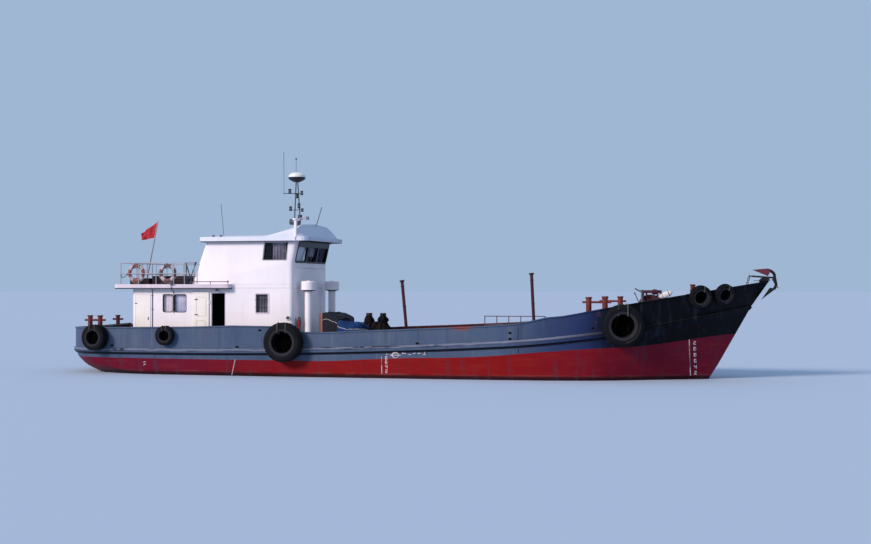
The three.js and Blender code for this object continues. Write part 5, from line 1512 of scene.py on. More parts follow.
@dataclass
class Doors(Section):
    """The two leaves: cream faces with stiffened panels, a handle and dogs."""

    near: float = -6.585
    width: float = 0.6
    foot: float = 1.06
    head: float = 2.97
    middle: float = 1.876

    def build(self) -> None:
        """Dresses each leaf where the photograph shows it: one folded back, one closed."""
        for hand in Hand:
            body = f"door_{hand.word}_body"
            dogs = lambda at, way: int(abs(abs(at.y) - self.middle) > 0.0202 and at.z > 1.2)
            fair_copy("door_" + hand.word, (CREAM, FRAME), edge=0.004, pick=dogs, slot="door_paint", body=body)
            folded = hand is Hand.STARBOARD
            x = self.near - 0.05 - self.width / 2 if folded else self.near + self.width / 2
            z = (self.foot + self.head) / 2
            panels = Form()
            place = on_side(hand, x, self.middle + 0.02, z)
            if not folded:
                place = on_side(hand, x, self.middle - 0.02, z) @ Matrix.Rotation(math.pi, 4, "Y")
            for low in (-0.42, 0.43):
                shifted = place @ moved((0, low, 0))
                frame_round(panels, shifted, (0.36, 0.66), 0.02, 0.008, 0.05)
            panels.fix(f"door_panel_{hand.word}", CREAM_DARK, "door_paint", 0.002, body=body)


@dataclass
class Roof(Section):
    """The wheelhouse's roof, the mast and its lamps, the radome and the searchlight."""

    # x, height, radius, length of each lamp on the mast
    lamps: tuple[tuple[float, float, float, float], ...] = (
        (-4.23, 6.69, 0.052, 0.17), (-3.76, 6.62, 0.045, 0.15), (-3.96, 6.52, 0.05, 0.17),
        (-4.2, 6.05, 0.05, 0.16), (-3.87, 6.15, 0.05, 0.17), (-3.74, 5.99, 0.042, 0.12),
    )

    def build(self) -> None:
        """Builds the roof, then what stands on it."""

        def part_of(at: Vector, way: Vector) -> int:
            if at.x < -6.7 and at.z > 5.02 or abs(at.y) < 0.1 and at.z > 5.5:
                return 2
            # The roof's underside over the wheelhouse takes the painted shade of the inside.
            if way.z < -0.9 and abs(at.y) < 1.8 and -6.7 < at.x < -3.4:
                return 1
            # The visor's forward faces take a greyer white, painted as their shade.
            return 3 if way.x > 0.25 and at.x > -3.5 else 0

        fair_copy("wheelhouse_roof", (ROOF_WHITE, INSIDE_SHADE, STEEL, VISOR_SHADE), edge=0.008, crease=18, pick=part_of,
                  slot="house_paint")
        self.bumps()
        self.mast()
        self.dome()

    def bumps(self) -> None:
        """The two small roof vents, and the lamp stand's tube and head."""
        cap = Form().lathe([(0, 0), (0.05, 0), (0.055, 0.045), (0.04, 0.075), (0, 0.085)], sides=20)
        places = [moved((x, -1.85, 4.945)) for x in (-6.47, -6.18)]
        self.spread("roof_vents", cap, places, TRIM, "house_paint")
        form = Form().lathe([(0, 0), (0.075, 0), (0.085, 0.02), (0.085, 0.05), (0.07, 0.065), (0, 0.065)],
                            (-3.27, -2.045, 5.52), sides=24)
        form.rod((-3.24, -2.045, 4.93), (-3.24, -2.045, 5.53), 0.048)
        form.fix("lamp_stand_head", WHITE, "house_paint", 0.003)

    def mast(self) -> None:
        """The mast with its lanterns, horn and searchlight."""
        fair_copy("mast", (MAST,), crease=50, slot="dark_steel")
        caps, lenses = Form(), Form()
        for x, z, radius, length in self.lamps:
            low, high = z - length / 2, z + length / 2
            wide = radius + 0.006
            for foot, head in ((low - 0.004, low + 0.03), (high - 0.035, high + 0.004)):
                profile = [(0, foot), (wide, foot), (wide, head), (0, head)]
                caps.lathe(profile, (x, 0, 0), sides=20)
            lens = [(0, low + 0.03), (radius + 0.002, low + 0.03), (radius + 0.004, z),
                    (radius + 0.002, high - 0.035)]
            lenses.lathe([*lens, (0, high - 0.035)], (x, 0, 0), sides=20)
        caps.fix("lantern_caps", FRAME, "dark_steel", 0.002)
        lenses.fix("lantern_lenses", LENS, "glass")
        self.searchlight()

    def searchlight(self) -> None:
        """The searchlight's hood and glass, and the two horns on their block over it."""
        centre = (-4.1, 0, 5.56)
        hood = [(0, -0.12), (0.05, -0.115), (0.1, -0.06), (0.116, 0.0), (0.118, 0.075), (0.108, 0.078), (0.1, 0.03),
                (0, 0.03)]
        Form().lathe(hood, centre, (1, 0, 0), 32).fix("searchlight_hood", MAST, "dark_steel", 0.002)
        glass = [(0, 0.031), (0.1, 0.031), (0.1, 0.045), (0.05, 0.06), (0, 0.062)]
        Form().lathe(glass, centre, (1, 0, 0), 32).fix("searchlight_glass", LENS, "glass")
        horn = [(0, 0), (0.02, 0), (0.022, 0.16), (0.035, 0.24), (0.075, 0.3), (0.07, 0.305), (0.03, 0.25), (0, 0.2)]
        form = Form().lathe(horn, (-3.83, -0.09, 5.68), (1, 0, 0.03), 24)
        form.lathe(horn, (-3.83, 0.09, 5.68), (1, 0, 0.03), 24)
        form.block((-3.86, -0.12, 5.63), (-3.78, 0.12, 5.66))
        form.fix("horns", RAIL, "dark_steel", 0.002)

    def dome(self) -> None:
        """The radome: a pale top over a lower half painted dark as its shade, with the seam's band."""
        # The lower half is painted dark as the dome's shade.
        lower = lambda at, way: 1 if at.z < 7.06 + 0.125 else 0
        fair_copy("radome", (DOME, FRAME), crease=40, pick=lower, slot="radome_shell")
        seam = Form().lathe(band(0.312, 0.321, 7.17, 7.205, 0.005),
                            (-3.95, 0, 0), sides=48)
        seam.fix("radome_seam", FRAME, "radome_shell")


@dataclass
class Platform(Section):
    """The rail, lifebuoys, flag and stowage on the platform over the after deckhouse."""

    floor: float = 3.25
    ring: float = 0.27
    tube: float = 0.066
    buoys: tuple[float, ...] = (-9.5, -8.25)
    buoy_y: float = -1.874
    buoy_z: float = 3.66

    def build(self) -> None:
        """Builds the rail, then what is on it."""
        fair_copy("platform_rail", (RAIL,), crease=70, slot="rail_paint")
        for number, x in enumerate(self.buoys, 1):
            self.lifebuoy(number, x)
        self.lashings()
        self.flag()
        self.stowage()
        self.teal_frame()

    def lifebuoy(self, number: int, x: float) -> None:
        """A lifebuoy in four bands with its grab line.

        Args:
            number: Its number in the frame.
            x: Where its middle is.
        """
        form = Form()
        rings = []
        for u, v in spokes(64):
            way = Vector((u, 0, v))
            middle = Vector((x, self.buoy_y, self.buoy_z)) + way * self.ring
            rings.append([middle + way * self.tube * c + Vector((0, 0.057 * s, 0)) for c, s in spokes(16)])
        form.loft([*rings, rings[0]], capped=False)
        bmesh.ops.remove_doubles(form.mesh, verts=form.mesh.verts[:], dist=1e-5)
        made = form.piece(f"lifebuoy_ring_{number}", BUOY if number == 1 else BUOY_DULL)
        made.data.materials.append(BUOY_PALE.material())
        for face in made.data.polygons:
            turn = math.degrees(math.atan2(face.center.z - self.buoy_z, face.center.x - x)) % 90
            face.material_index = 1 if 26 < turn < 64 else 0
        fit(made, "buoy", f"lifebuoy_{number}")
        lines = []
        for quarter in range(4):
            arc = []
            for k in range(9):
                turn = math.pi / 4 + (quarter + k / 8) * math.pi / 2
                far = self.ring + self.tube + 0.004 + 0.03 * math.sin(math.pi * k / 8)
                arc.append((x + far * math.cos(turn), self.buoy_y, self.buoy_z + far * math.sin(turn)))
            lines.append(arc)
        self.bars(f"buoy_grab_line_{number}", lines, 0.006, ROPE_WHITE, "buoy", sides=6)
        hanger = [[(x, self.buoy_y - 0.055, 4.03), (x - 0.16, self.buoy_y - 0.07, 3.83),
                   (x + 0.16, self.buoy_y - 0.07, 3.83),
                   (x, self.buoy_y - 0.055, 4.03)]]
        self.bars(f"buoy_hanger_{number}", hanger, 0.009, STEEL, "rail_paint", sides=6)

    def lashings(self) -> None:
        """Small turns of white line round the lower rail, and the bracket at its after corner."""
        rings = Form()
        ring = band(0.018, 0.027, -0.02, 0.02, 0.005)
        for i in range(9):
            rings.lathe(ring, (-9.9 + 0.29 * i + 0.03 * (i % 3), -1.95, 3.64), (1, 0, 0), 12)
        for i in range(5):
            rings.lathe(ring, (-9.7 + 0.5 * i, 1.95, 4.03), (1, 0, 0), 12)
        rings.fix("rail_lashings", ROPE_WHITE, "rail_paint")
        out = [[(-10.09, -1.96, 3.62), (-9.97, -2.06, 3.48), (-9.78, -2.06, 3.6), (-9.82, -1.96, 3.64)]]
        self.bars("rail_bracket", out, 0.016, STEEL, "dark_steel", bend=0.03, sides=8)

    def flag(self) -> None:
        """The staff in two tones, and the flag that waves from it."""
        upper = lambda at, way: 1 if at.z > 4.3 else 0
        fair_copy("flagstaff", (BITT, RAIL), crease=50, pick=upper, slot="mooring_paint")
        hoist = (Vector((-9.565, 0, 5.63)), Vector((-9.68, 0, 5.02)))
        fly = (Vector((-10.25, 0, 5.19)), Vector((-10.18, 0, 4.93)))
        across, down = 36, 16
        rows = []
        for j in range(down + 1):
            v = j / down
            start, end = hoist[0].lerp(hoist[1], v), fly[0].lerp(fly[1], v)
            row = []
            for i in range(across + 1):
                u = i / across
                point = start.lerp(end, u)
                swell = 0.075 * u**0.7
                point.y = swell * math.sin(9 * u + 1.6 * v) + 0.02 * u * math.sin(17 * u - 5 * v)
                point.z -= 0.02 * math.sin(math.pi * u) * (1 - v)
                row.append(point)
            rows.append(row)
        made = Form().loft(rows, closed=False).piece("waving_flag", FLAG_RED)
        fit(made, "flag_cloth", "flag")
        ties = Form()
        for z in (5.58, 5.32, 5.06):
            share = (z - 3.24) / (5.65 - 3.24)
            at = Vector((-10.03, 0, 3.24)).lerp(Vector((-9.54, 0, 5.65)), share)
            ties.lathe(band(0.019, 0.026, -0.012, 0.012, 0.004), at,
                       (0.2, 0, 0.98), 14)
        ball = [(0, 0), (0.022, 0.004), (0.03, 0.025), (0.022, 0.045), (0, 0.05)]
        ties.lathe(ball, (-9.545, 0, 5.64), (0.2, 0, 0.98), 16)
        ties.fix("flag_ties", ROPE_WHITE, "mooring_paint")

    def stowage(self) -> None:
        """Low lockers, planks and two vents between the rails."""
        low = Form()
        for x0, x1, y0, y1, tall in ((-9.95, -9.2, -1.5, -0.9, 0.2), (-9.1, -8.6, -1.4, -0.8, 0.28),
                                     (-8.45, -7.75, -1.5, -0.6, 0.18), (-9.5, -8.2, 0.7, 1.3, 0.3)):
            low.block((x0, y0, self.floor), (x1, y1, self.floor + tall))
            low.block((x0 - 0.02, y0 - 0.02, self.floor + tall), (x1 + 0.02, y1 + 0.02, self.floor + tall + 0.025))
        low.fix("platform_lockers", STOWAGE, "dark_steel", 0.008)
        planks = Form()
        for i in range(4):
            z = self.floor + 0.035 * i
            planks.block((-9.85 + 0.1 * i, -0.6 + 0.03 * i, z), (-7.7 - 0.15 * i, -0.4 + 0.03 * i, z + 0.032))
        planks.fix("spare_planks", PLANK, "dark_steel", 0.004)
        vent = [(0, 0), (0.09, 0), (0.09, 0.22), (0.17, 0.23), (0.18, 0.28), (0.12, 0.34), (0, 0.35)]
        form = Form().lathe(vent, (-8.98, -1.05, self.floor), sides=32)
        form.lathe(vent, (-7.6, 0.9, self.floor), sides=32)
        form.fix("platform_vents", PALE_BLUE, "house_paint", 0.003)

    def teal_frame(self) -> None:
        """The teal bar on spreading legs at the rail's fore end."""
        bars = [
            [(-7.56, -1.9, 4.03), (-7.09, -1.9, 4.03)],
            [(-7.5, -1.9, 4.03), (-7.53, -1.9, self.floor)],
            [(-7.5, -1.9, 3.95), (-7.3, -1.9, 3.35), (-7.36, -1.9, self.floor)],
            [(-7.13, -1.9, 4.03), (-7.33, -1.9, 3.5)],
        ]
        self.bars("teal_frame", bars, 0.022, TEAL, "dark_steel", sides=8)


@dataclass
class Deck(Section):
    """The trunk, hatches, pump, heaps, vents and bitts on deck."""

    trunk_top: float = 1.48
    hatches: tuple[float, ...] = (1.0, 2.5)
    hatch_y: float = -0.5
    hatch_size: float = 0.7
    pump: Place = (-0.63, -0.8, 1.37)
    # foot x, head x and head z of the two vent posts
    vent_line: tuple[Place, ...] = ((0.28, 0.09, 3.4), (4.97, 4.86, 3.65))

    def build(self) -> None:
        """Builds what stands on deck from aft to the fore end of the trunk."""
        self.bitts()
        self.trunk()
        self.vent_posts()
        self.pump_unit()
        self.heap("tarpaulin_dark", TARP_DARK, 11, 0.06, (-2.79, -1.62))
        self.heap("tarpaulin_blue", TARP_BLUE, 5, 0.045, (-1.75, -0.6))
        self.heap_gear()
        self.after_deck()

    def bitts(self) -> None:
        """The mooring posts, bare on their flat tops, with gussets at their feet."""
        lower = lambda at: at - UP * 0.09 if at.z > 2.4 else at
        for name, reshape in (("stern_bitts", None), ("fore_bitts", lower)):
            for hand in Hand:
                fair_copy(f"{name}_{hand.word}", (BITT, CAP_RED), crease=50, pick=self.cap_of, slot="mooring_paint",
                          reshape=reshape)
        for name, finish in (("centre_bitt", POST), ("bow_bitt", BITT)):
            fair_copy(name, (finish, CAP_RED), crease=50, pick=self.cap_of, slot="mooring_paint")
        gussets = []
        spots = [(x, side * y) for x,
                 y in ((-11.2, 2.18), (-10.8, 2.18), (7.2, 1.96), (7.75, 1.96)) for side in (-1, 1)]
        for x, y in (*spots, (-11.2, 0.0), (10.5, 0.0)):
            z = self.skin.deck(x)
            reach = 0.095 if x > 0 else 0.085
            for k in range(4):
                turn = Matrix.Rotation(math.pi / 4 + k * math.pi / 2, 4, "Z")
                gussets.append(moved((x, y, z)) @ turn @ moved((reach - 0.01, 0, 0)))
        shape = Form().plate([(0, 0), (0.11, 0), (0, 0.16)], 0.012, STANDING)
        self.spread("bitt_gussets", shape, gussets, BITT, "mooring_paint")

    @staticmethod
    def cap_of(at: Vector, way: Vector) -> int:
        """Bare worn metal on the flat tops."""
        return 1 if way.z > 0.9 and at.z > 2 else 0

    def trunk(self) -> None:
        """The trunk with its rail, and its hatch lids with their ribs and dogs."""
        railed = lambda at, way: 1 if at.y > 0.45 and at.z > 1.5 else 0
        fair_copy("cargo_trunk", (DECK, TRUNK_RAIL), edge=0.008, pick=railed, slot="deck_paint")
        for i, x in enumerate(self.hatches, 1):
            body = f"hatch_lid_{i}_body"
            fair_copy(f"hatch_lid_{i}", (DECK,), edge=0.006, slot="deck_paint", body=body)
            ribs = Form()
            middle, z = x + self.hatch_size / 2, 1.6205
            for turn in (45, -45):
                way = Matrix.Rotation(math.radians(turn), 4, "Z")
                place = moved((middle, self.hatch_y, z)) @ way
                for sign in (-1, 1):
                    ribs.plate([(sign * 0.14, -0.006), (sign * 0.4, -0.006), (sign * 0.4, 0.006),
                                (sign * 0.14, 0.006)],
                               0.014, place)
            ribs.fix(f"lid_ribs_{i}", DECK, "deck_paint", 0.002, body=body)
            dogs = Form()
            for u, v in ((1, 0.5), (1, -0.5), (0.25, 1.02), (0.25, -1.02)):
                at = (middle + u * 0.385, self.hatch_y + v * 0.372, 1.545)
                dogs.lathe([(0, -0.05), (0.011, -0.05), (0.011, 0.02), (0.022, 0.024), (0.022, 0.034), (0, 0.036)],
                           at,
                           sides=10)
            dogs.fix(f"coaming_dogs_{i}", STEEL, "dark_steel")
        self.trunk_fittings()

    def trunk_fittings(self) -> None:
        """Tank lids with their nuts, and the pipe runs along both sides of the trunk with their feet and flanges."""
        lid = Form().lathe([(0, 0), (0.26, 0), (0.27, 0.02), (0.24, 0.035), (0.2, 0.035), (0.19, 0.05), (0, 0.055)],
                           sides=32)
        nut = Form().lathe([(0, 0), (0.016, 0), (0.016, 0.02), (0.008, 0.03), (0, 0.03)], sides=6)
        lids = [(3.6, -0.7), (4.5, -0.7), (0.55, 0.85), (1.9, 0.85)]
        top = self.trunk_top
        self.spread("tank_lids", lid, [moved((*p, top)) for p in lids], BITT, "deck_paint")
        nuts = [
            moved((x + 0.225 * c, y + 0.225 * s, top + 0.033)) for x, y in lids for c, s in spokes(12)
        ]
        self.spread("tank_lid_nuts", nut, nuts, GALVANISED, "dark_steel")
        deck = self.skin.deck
        runs = []
        for hand in Hand:
            y = hand.value * 1.55
            line = [(x, y, deck(x) + 0.16) for x in (-0.2, 1.5, 3.0, 4.5, 5.7)]
            runs.append([(line[0][0], y, deck(-0.2) + 0.01), *line, (5.9, y * 0.9, deck(5.9) + 0.16),
                         (5.9, y * 0.9, deck(5.9))])
        self.bars("deck_pipes", runs, 0.045, BITT, "deck_paint", bend=0.12, sides=12)
        feet, flanges = [], []
        for hand in Hand:
            y = hand.value * 1.55
            for x in (0.6, 2.0, 3.4, 4.8):
                feet.append(moved((x, y, deck(x) - 0.005)))
                flanges.append(facing((1, 0, 0.05), (x + 0.4, y, deck(x + 0.4) + 0.16)))
        foot = Form().plate([(-0.05, 0), (0.05, 0), (0.03, 0.14), (-0.03, 0.14)], 0.014, STANDING)
        self.spread("pipe_feet", foot, feet, BITT, "deck_paint")
        flange = Form().lathe([(0, -0.02), (0.085, -0.02), (0.085, -0.002), (0.075, 0), (0.085, 0.002),
                               (0.085, 0.02), (0, 0.02)],
                              sides=20)
        self.spread("pipe_flanges", flange, flanges, BITT, "deck_paint")

    def vent_posts(self) -> None:
        """The two tank vent posts with dark caps, bolted flanges and bands."""
        cap = lambda at, way: 1 if at.z > 3.3 else 0
        fair_copy("tank_vent_line", (POST, CAP_DARK), crease=50, pick=cap, slot="mooring_paint", reshape=self.slim)
        nuts = [moved((x + 0.135 * c, 0.135 * s, 1.51)) for x, _, _ in self.vent_line for c, s in spokes(10)]
        nut = Form().lathe([(0, -0.002), (0.018, 0), (0.018, 0.02), (0.009, 0.032), (0, 0.032)], sides=6)
        self.spread("vent_flange_nuts", nut, nuts, GALVANISED, "dark_steel")
        rings = Form()
        for foot, head, top in self.vent_line:
            way = Vector((head - foot, 0, top - self.trunk_top))
            for share in (0.5, 0.88):
                at = Vector((foot, 0, self.trunk_top)) + way * share
                rings.lathe(band(0.05, 0.066, -0.02, 0.02), at, way, 24)
        rings.fix("vent_post_bands", POST, "mooring_paint", 0.003)

    def slim(self, at: Vector) -> Vector:
        """Draws the vent posts and their caps in about their raked middles."""
        for foot, head, top in self.vent_line:
            middle = foot + (head - foot) * (at.z - self.trunk_top) / (top - self.trunk_top)
            far = math.hypot(at.x - middle, at.y)
            if 0.065 < far < 0.125:
                share = 0.66 if far < 0.096 else 0.82
                return Vector((middle + (at.x - middle) * share, at.y * share, at.z))
        return at

    def pump_unit(self) -> None:
        """The cargo pump: casing ribs, bolted ends, dark heads and worn lagging round them."""
        dark = lambda at, way: 1 if at.z > 1.95 else 0
        fair_copy("cargo_pump", (STEEL, CAP_DARK), crease=50, pick=dark, slot="dark_steel")
        x, y, z = self.pump
        form = Form()
        for k in range(9):
            at = (x - 0.3 + 0.075 * k, y, z)
            form.lathe(band(0.168, 0.186, -0.012, 0.012, 0.004), at, (1, 0, 0), 28)
        for end in (-0.39, 0.37):
            form.lathe([(0, 0), (0.19, 0), (0.19, 0.022), (0, 0.022)], (x + end, y, z), (1, 0, 0), 28)
        form.lathe([(0, 0), (0.05, 0), (0.05, 0.12), (0.11, 0.13), (0.11, 0.17), (0, 0.17)], (x - 0.03, y, z + 0.16),
                   sides=24)
        form.fix("pump_ribs", STEEL, "dark_steel", 0.003)
        wheel = Form().lathe(band(0.08, 0.1, -0.01, 0.01), (x - 0.03, y, z + 0.42), sides=28)
        wheel.rod((x - 0.03, y, z + 0.3), (x - 0.03, y, z + 0.43), 0.01)
        for angle in (0, math.pi / 2):
            way = Vector((math.cos(angle), math.sin(angle), 0)) * 0.09
            at = Vector((x - 0.03, y, z + 0.42))
            wheel.rod(at - way, at + way, 0.007, 8)
        wheel.fix("pump_valve_wheel", FIRE_RED, "dark_steel")
        for i, (offset, radius,
                tall) in enumerate(((-0.27, 0.2, 0.71), (0.25, 0.21, 0.7), (0.0, 0.22, 0.42), (0.42, 0.16, 0.3)), 1):
            self.lagging(f"pump_lagging_{i}", (x + offset, y - 0.02 * i, 1.5), radius, tall)

    def lagging(self, name: str, foot: Place, radius: float, tall: float) -> None:
        """Rough wrapping round a pipe, uneven all over.

        Args:
            name: The piece's name.
            foot: Where it starts.
            radius: How thick it is.
            tall: How high it reaches.
        """
        rings = []
        for j in range(15):
            v = j / 14
            row = []
            swell = (1.15 - 0.45 * v) * max(0.4, 1 - v**9)
            for c, s in spokes(36):
                spot = Vector((c * 2, s * 2, v * 5 + foot[0] * 3))
                far = radius * swell * (1 + 0.34 * noise.noise(spot) + 0.2 * noise.noise(spot * 3.1))
                row.append(Vector(foot) + Vector((far * c, far * s, tall * v)))
            rings.append(row)
        Form().loft(rings).fix(name, LAGGING, "dark_steel", crease=60)

    def heap(self, node: str, finish: Finish, pleats: int, depth: float, reach: tuple[float, float]) -> None:
        """A sheet draped over a heap of gear, from its crown down to a hem in folds near the deck.

        Args:
            node: The heap's node, which the sheet takes the place of.
            finish: The cloth.
            pleats: Folds round the hem.
            depth: How deep the folds are.
            reach: The sheet's after and fore ends along the boat.
        """
        low, high = (Vector((x, *corner[1:])) for x, corner in zip(reach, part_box(node)))
        middle = (low + high) / 2
        half = (high - low) / 2
        top = high.z - 0.03
        around, out = 168, 34
        rings = []
        for j in range(out + 1):
            r = j / out
            row = []
            for i in range(around):
                angle = 2 * math.pi * i / around
                c, s = math.cos(angle), math.sin(angle)
                square = (abs(c) ** 9 + abs(s) ** 9) ** (-1 / 9)
                flat, drop = min(1, r / 0.6), max(0, (r - 0.6) / 0.4)
                fold = math.sin(pleats * angle + 1.4 * math.sin(2 * angle)) + 0.5 * math.sin(2.7 * pleats * angle + 2)
                spread = min(1, (0.93 * flat**0.9 + 0.04 * drop + 0.7 * depth * drop**0.8 * fold) * square)
                x = middle.x + half.x * spread * c
                y = middle.y + half.y * spread * s
                ground = self.skin.deck(x) + 0.012
                lump = noise.noise(Vector((x * 1.9, y * 1.9, low.z))) + 0.4 * noise.noise(Vector((x * 5, y * 5, 3)))
                crown = top - 0.05 - 0.08 * flat**4 + 0.1 * lump - 0.09 * (x - middle.x) / half.x
                z = crown + (ground - crown) * drop**0.85
                z += 0.025 * noise.noise(Vector((x * 9, y * 9, 7)))
                row.append(Vector((x, y, max(ground, min(z, top + 0.025)))))
            rings.append(row)
        form = Form()
        rings[0] = [sum(rings[0], Vector()) / around] * around
        form.loft(rings, capped=False)
        bmesh.ops.remove_doubles(form.mesh, verts=form.mesh.verts[:], dist=1e-5)
        bmesh.ops.dissolve_degenerate(form.mesh, dist=1e-6, edges=form.mesh.edges[:])
        made = form.piece(f"{node}_sheet", finish, crease=80)
        fit(made, node, node)
        self.heap_line(node, rings[int(out * 0.66)])

    def heap_line(self, node: str, ring: Sequence[Vector]) -> None:
        """The line that holds a sheet down, taut round its waist."""
        middle = sum(ring, Vector()) / len(ring)
        out = [middle + (point - middle) * 1.012 for point in ring[::3]]
        self.bars(f"{node}_lashing", [out], 0.009, ROPE_WHITE, node, sides=6, closed=True)

    def heap_gear(self) -> None:
        """What shows beside the heaps: two drums, a board on end and a small locker."""
        drum = [(0, 0), (0.28, 0), (0.29, 0.02), (0.285, 0.28), (0.297, 0.3), (0.285, 0.32), (0.285, 0.56),
                (0.297, 0.58),
                (0.285, 0.6), (0.29, 0.86), (0.28, 0.88), (0.27, 0.865), (0, 0.865)]
        floor = self.skin.deck(-2.4)
        drums = Form().lathe(drum, (-2.35, 1.3, floor), sides=36)
        drums.lathe(drum, (-1.7, 1.45, floor), sides=36).fix("oil_drums", PALE_BLUE, "dark_steel", 0.002)
        Form().block((-2.71, -1.02, floor), (-2.6, -0.98, 2.2)).fix("gangplank_end", PLANK_PINK, "dark_steel", 0.006)
        boxes = Form().block((-3.0, -1.78, floor), (-2.74, -1.5, 1.48))
        boxes.block((-3.02, -1.8, 1.48), (-2.72, -1.48, 1.51))
        boxes.fix("deck_locker", PALE_BLUE, "dark_steel", 0.012)

    def after_deck(self) -> None:
        """The pipe along the quarter's cap, the engine casing's lids and the steering gear's plate."""
        pipe = [[(-10.72, -2.4, 1.7), (-9.44, -2.4, 1.81)]]
        self.bars("quarter_pipe", pipe, 0.05, ANCHOR_ARM, "dark_steel", sides=12)
        z = self.skin.deck(-11.5)
        form = Form()
        # x, y, length, width, corner, thickness and height over the deck
        for x, y, long, wide, corner, thick, lift in (
            (-11.95, 0, 0.7, 0.7, 0.08, 0.05, 0),
            (-11.95, 0, 0.62, 0.62, 0.06, 0.02, 0.05),
            (-10.55, -1.25, 0.75, 0.6, 0.06, 0.16, 0),
            (-10.55, -1.25, 0.81, 0.66, 0.08, 0.03, 0.16),
            (-10.55, 1.25, 0.75, 0.6, 0.06, 0.16, 0),
            (-10.55, 1.25, 0.81, 0.66, 0.08, 0.03, 0.16),
        ):
            form.plate(rounded_box(long, wide, corner), thick, moved((x, y, z + lift)))
        form.fix("after_deck_hatches", DECK, "deck_paint", 0.006)


@dataclass
class Bow(Section):
    """The anchor, the stem head, the windlass and its chain."""

    drum: Place = (9.05, 0.0, 2.52)
    body: str = "windlass_drum_body"
    link: float = 0.11

    def build(self) -> None:
        """Builds the bow's gear."""
        self.anchor()
        fair_copy("stem_head", (ANCHOR_ARM,), edge=0.004, crease=50, slot="dark_steel")
        self.bitt_head()
        self.windlass()
        self.chain()
        self.float()

    def anchor(self) -> None:
        """The anchor, near black but for its dull red upper fluke."""
        fluke = lambda at, way: 1 if abs(at.y) > 0.03 and at.z > 3.42 else 0
        fair_copy("anchor", (ANCHOR_ARM, ANCHOR_RED), edge=0.008, pick=fluke, slot="mooring_paint")
        arms = [
            [(12.98, 0, 3.735), (13.12, 0, 3.7), (13.235, 0, 3.6), (13.25, 0, 3.46), (13.2, 0, 3.36)],
            [(13.25, 0, 3.46), (13.27, 0, 3.33), (13.3, 0, 3.22), (13.23, 0, 3.08)],
        ]
        self.bars("anchor_arm_swell", arms, 0.05, ANCHOR_ARM, "mooring_paint", bend=0.12, sides=14)
        self.bars("anchor_shank_swell", [[(12.5, 0, 3.518), (13.2, 0, 3.465)]], 0.03, ANCHOR_ARM, "mooring_paint",
                  sides=10)
        shackle = [[(13.31, -0.05, 3.2), (13.36, -0.05, 3.12), (13.36, 0.05, 3.12), (13.31, 0.05, 3.2)]]
        self.bars("anchor_shackle", shackle, 0.014, ANCHOR_RED, "mooring_paint", bend=0.03, sides=8, closed=True)

    def bitt_head(self) -> None:
        """The worn head with its cross pin on the bow bitt."""
        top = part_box("bow_bitt")[1][2]
        profile = [(0, 0), (0.075, 0), (0.08, 0.15), (0.1, 0.165), (0.1, 0.19), (0, 0.2)]
        form = Form().lathe(profile, (10.5, 0, top - 0.01), sides=24)
        form.rod((10.5, -0.19, top + 0.06), (10.5, 0.19, top + 0.06), 0.022, 12)
        form.fix("bow_bitt_head", BITT, "mooring_paint", 0.003)

    def windlass(self) -> None:
        """The windlass: cable turns and toothed wheels on its drum, its bed, post and gear case."""
        fair_copy("windlass_frame", (STEEL,), edge=0.005, crease=50, slot="dark_steel")
        fair_copy("windlass_drum", (POST,), crease=35, slot="mooring_paint", body=self.body)
        turns = []
        for k in range(13):
            y = -0.312 + 0.052 * k
            turns.append([(self.drum[0] + 0.208 * c, y, self.drum[2] + 0.208 * s) for c, s in spokes(24)])
        self.bars("drum_cable_turns", turns, 0.024, GALVANISED, "mooring_paint", self.body, sides=8, closed=True)
        teeth, wheels = [], Form()
        around = Vector(self.drum)
        for side in (-1, 1):
            rim = band(0.29, 0.36, -0.012, 0.012)
            wheels.lathe(rim, around + Vector((0, side * 0.398, 0)), (0, 1, 0), 56)
            for c, s in spokes(40):
                way = Vector((c, 0, s))
                teeth.append(facing(way, around + way * 0.359 + Vector((0, side * 0.398, 0))))
        wheels.fix("windlass_wheels", POST, "mooring_paint", 0.003, body=self.body)
        tooth = Form().block((-0.012, -0.013, -0.01), (0.012, 0.013, 0.018))
        self.spread("windlass_wheel_teeth", tooth, teeth, BITT, "mooring_paint", body=self.body)
        knobs = Form()
        for side in (-1, 1):
            knobs.lathe([(0.118, 0), (0.135, 0.012), (0.135, 0.03), (0.118, 0.04), (0.118, 0)],
                        (self.drum[0], side * 0.6 - 0.02, self.drum[2]), (0, 1, 0), 28)
        knobs.fix("warping_end_rims", BITT, "mooring_paint", body=self.body)
        post = Form().rod((8.84, -0.7, self.skin.deck(8.84)), (8.84, -0.7, 3.04), 0.035, 18)
        post.lathe([(0, 0), (0.05, 0), (0.05, 0.03), (0, 0.04)], (8.84, -0.7, 3.02), sides=20)
        post.rod((8.84, -0.7, 2.97), (8.6, -0.7, 3.1), 0.024, 12)
        post.block((8.5, -0.78, self.skin.deck(8.4)), (9.6, -0.47, self.skin.deck(9.6) + 0.05))
        post.block((8.5, 0.47, self.skin.deck(8.4)), (9.6, 0.78, self.skin.deck(9.6) + 0.05))
        post.fix("windlass_bed", STEEL, "dark_steel", 0.005)
        case = Form().plate(rounded_box(0.56, 1.0, 0.08), 0.1, moved((9.12, 0, 2.94)))
        case.lathe([(0, -0.3), (0.07, -0.3), (0.09, -0.26), (0.09, 0.26), (0.07, 0.3), (0, 0.3)], (9.2, 0, 2.98),
                   (0, 1, 0), 28)
        for x, y in ((8.83, -0.485), (8.83, 0.485), (9.32, -0.485), (9.32, 0.485)):
            case.block((x, y - 0.014, self.skin.deck(x)), (x + 0.06, y + 0.014, 2.97))
        case.fix("windlass_gear_case", POST, "mooring_paint", 0.008)

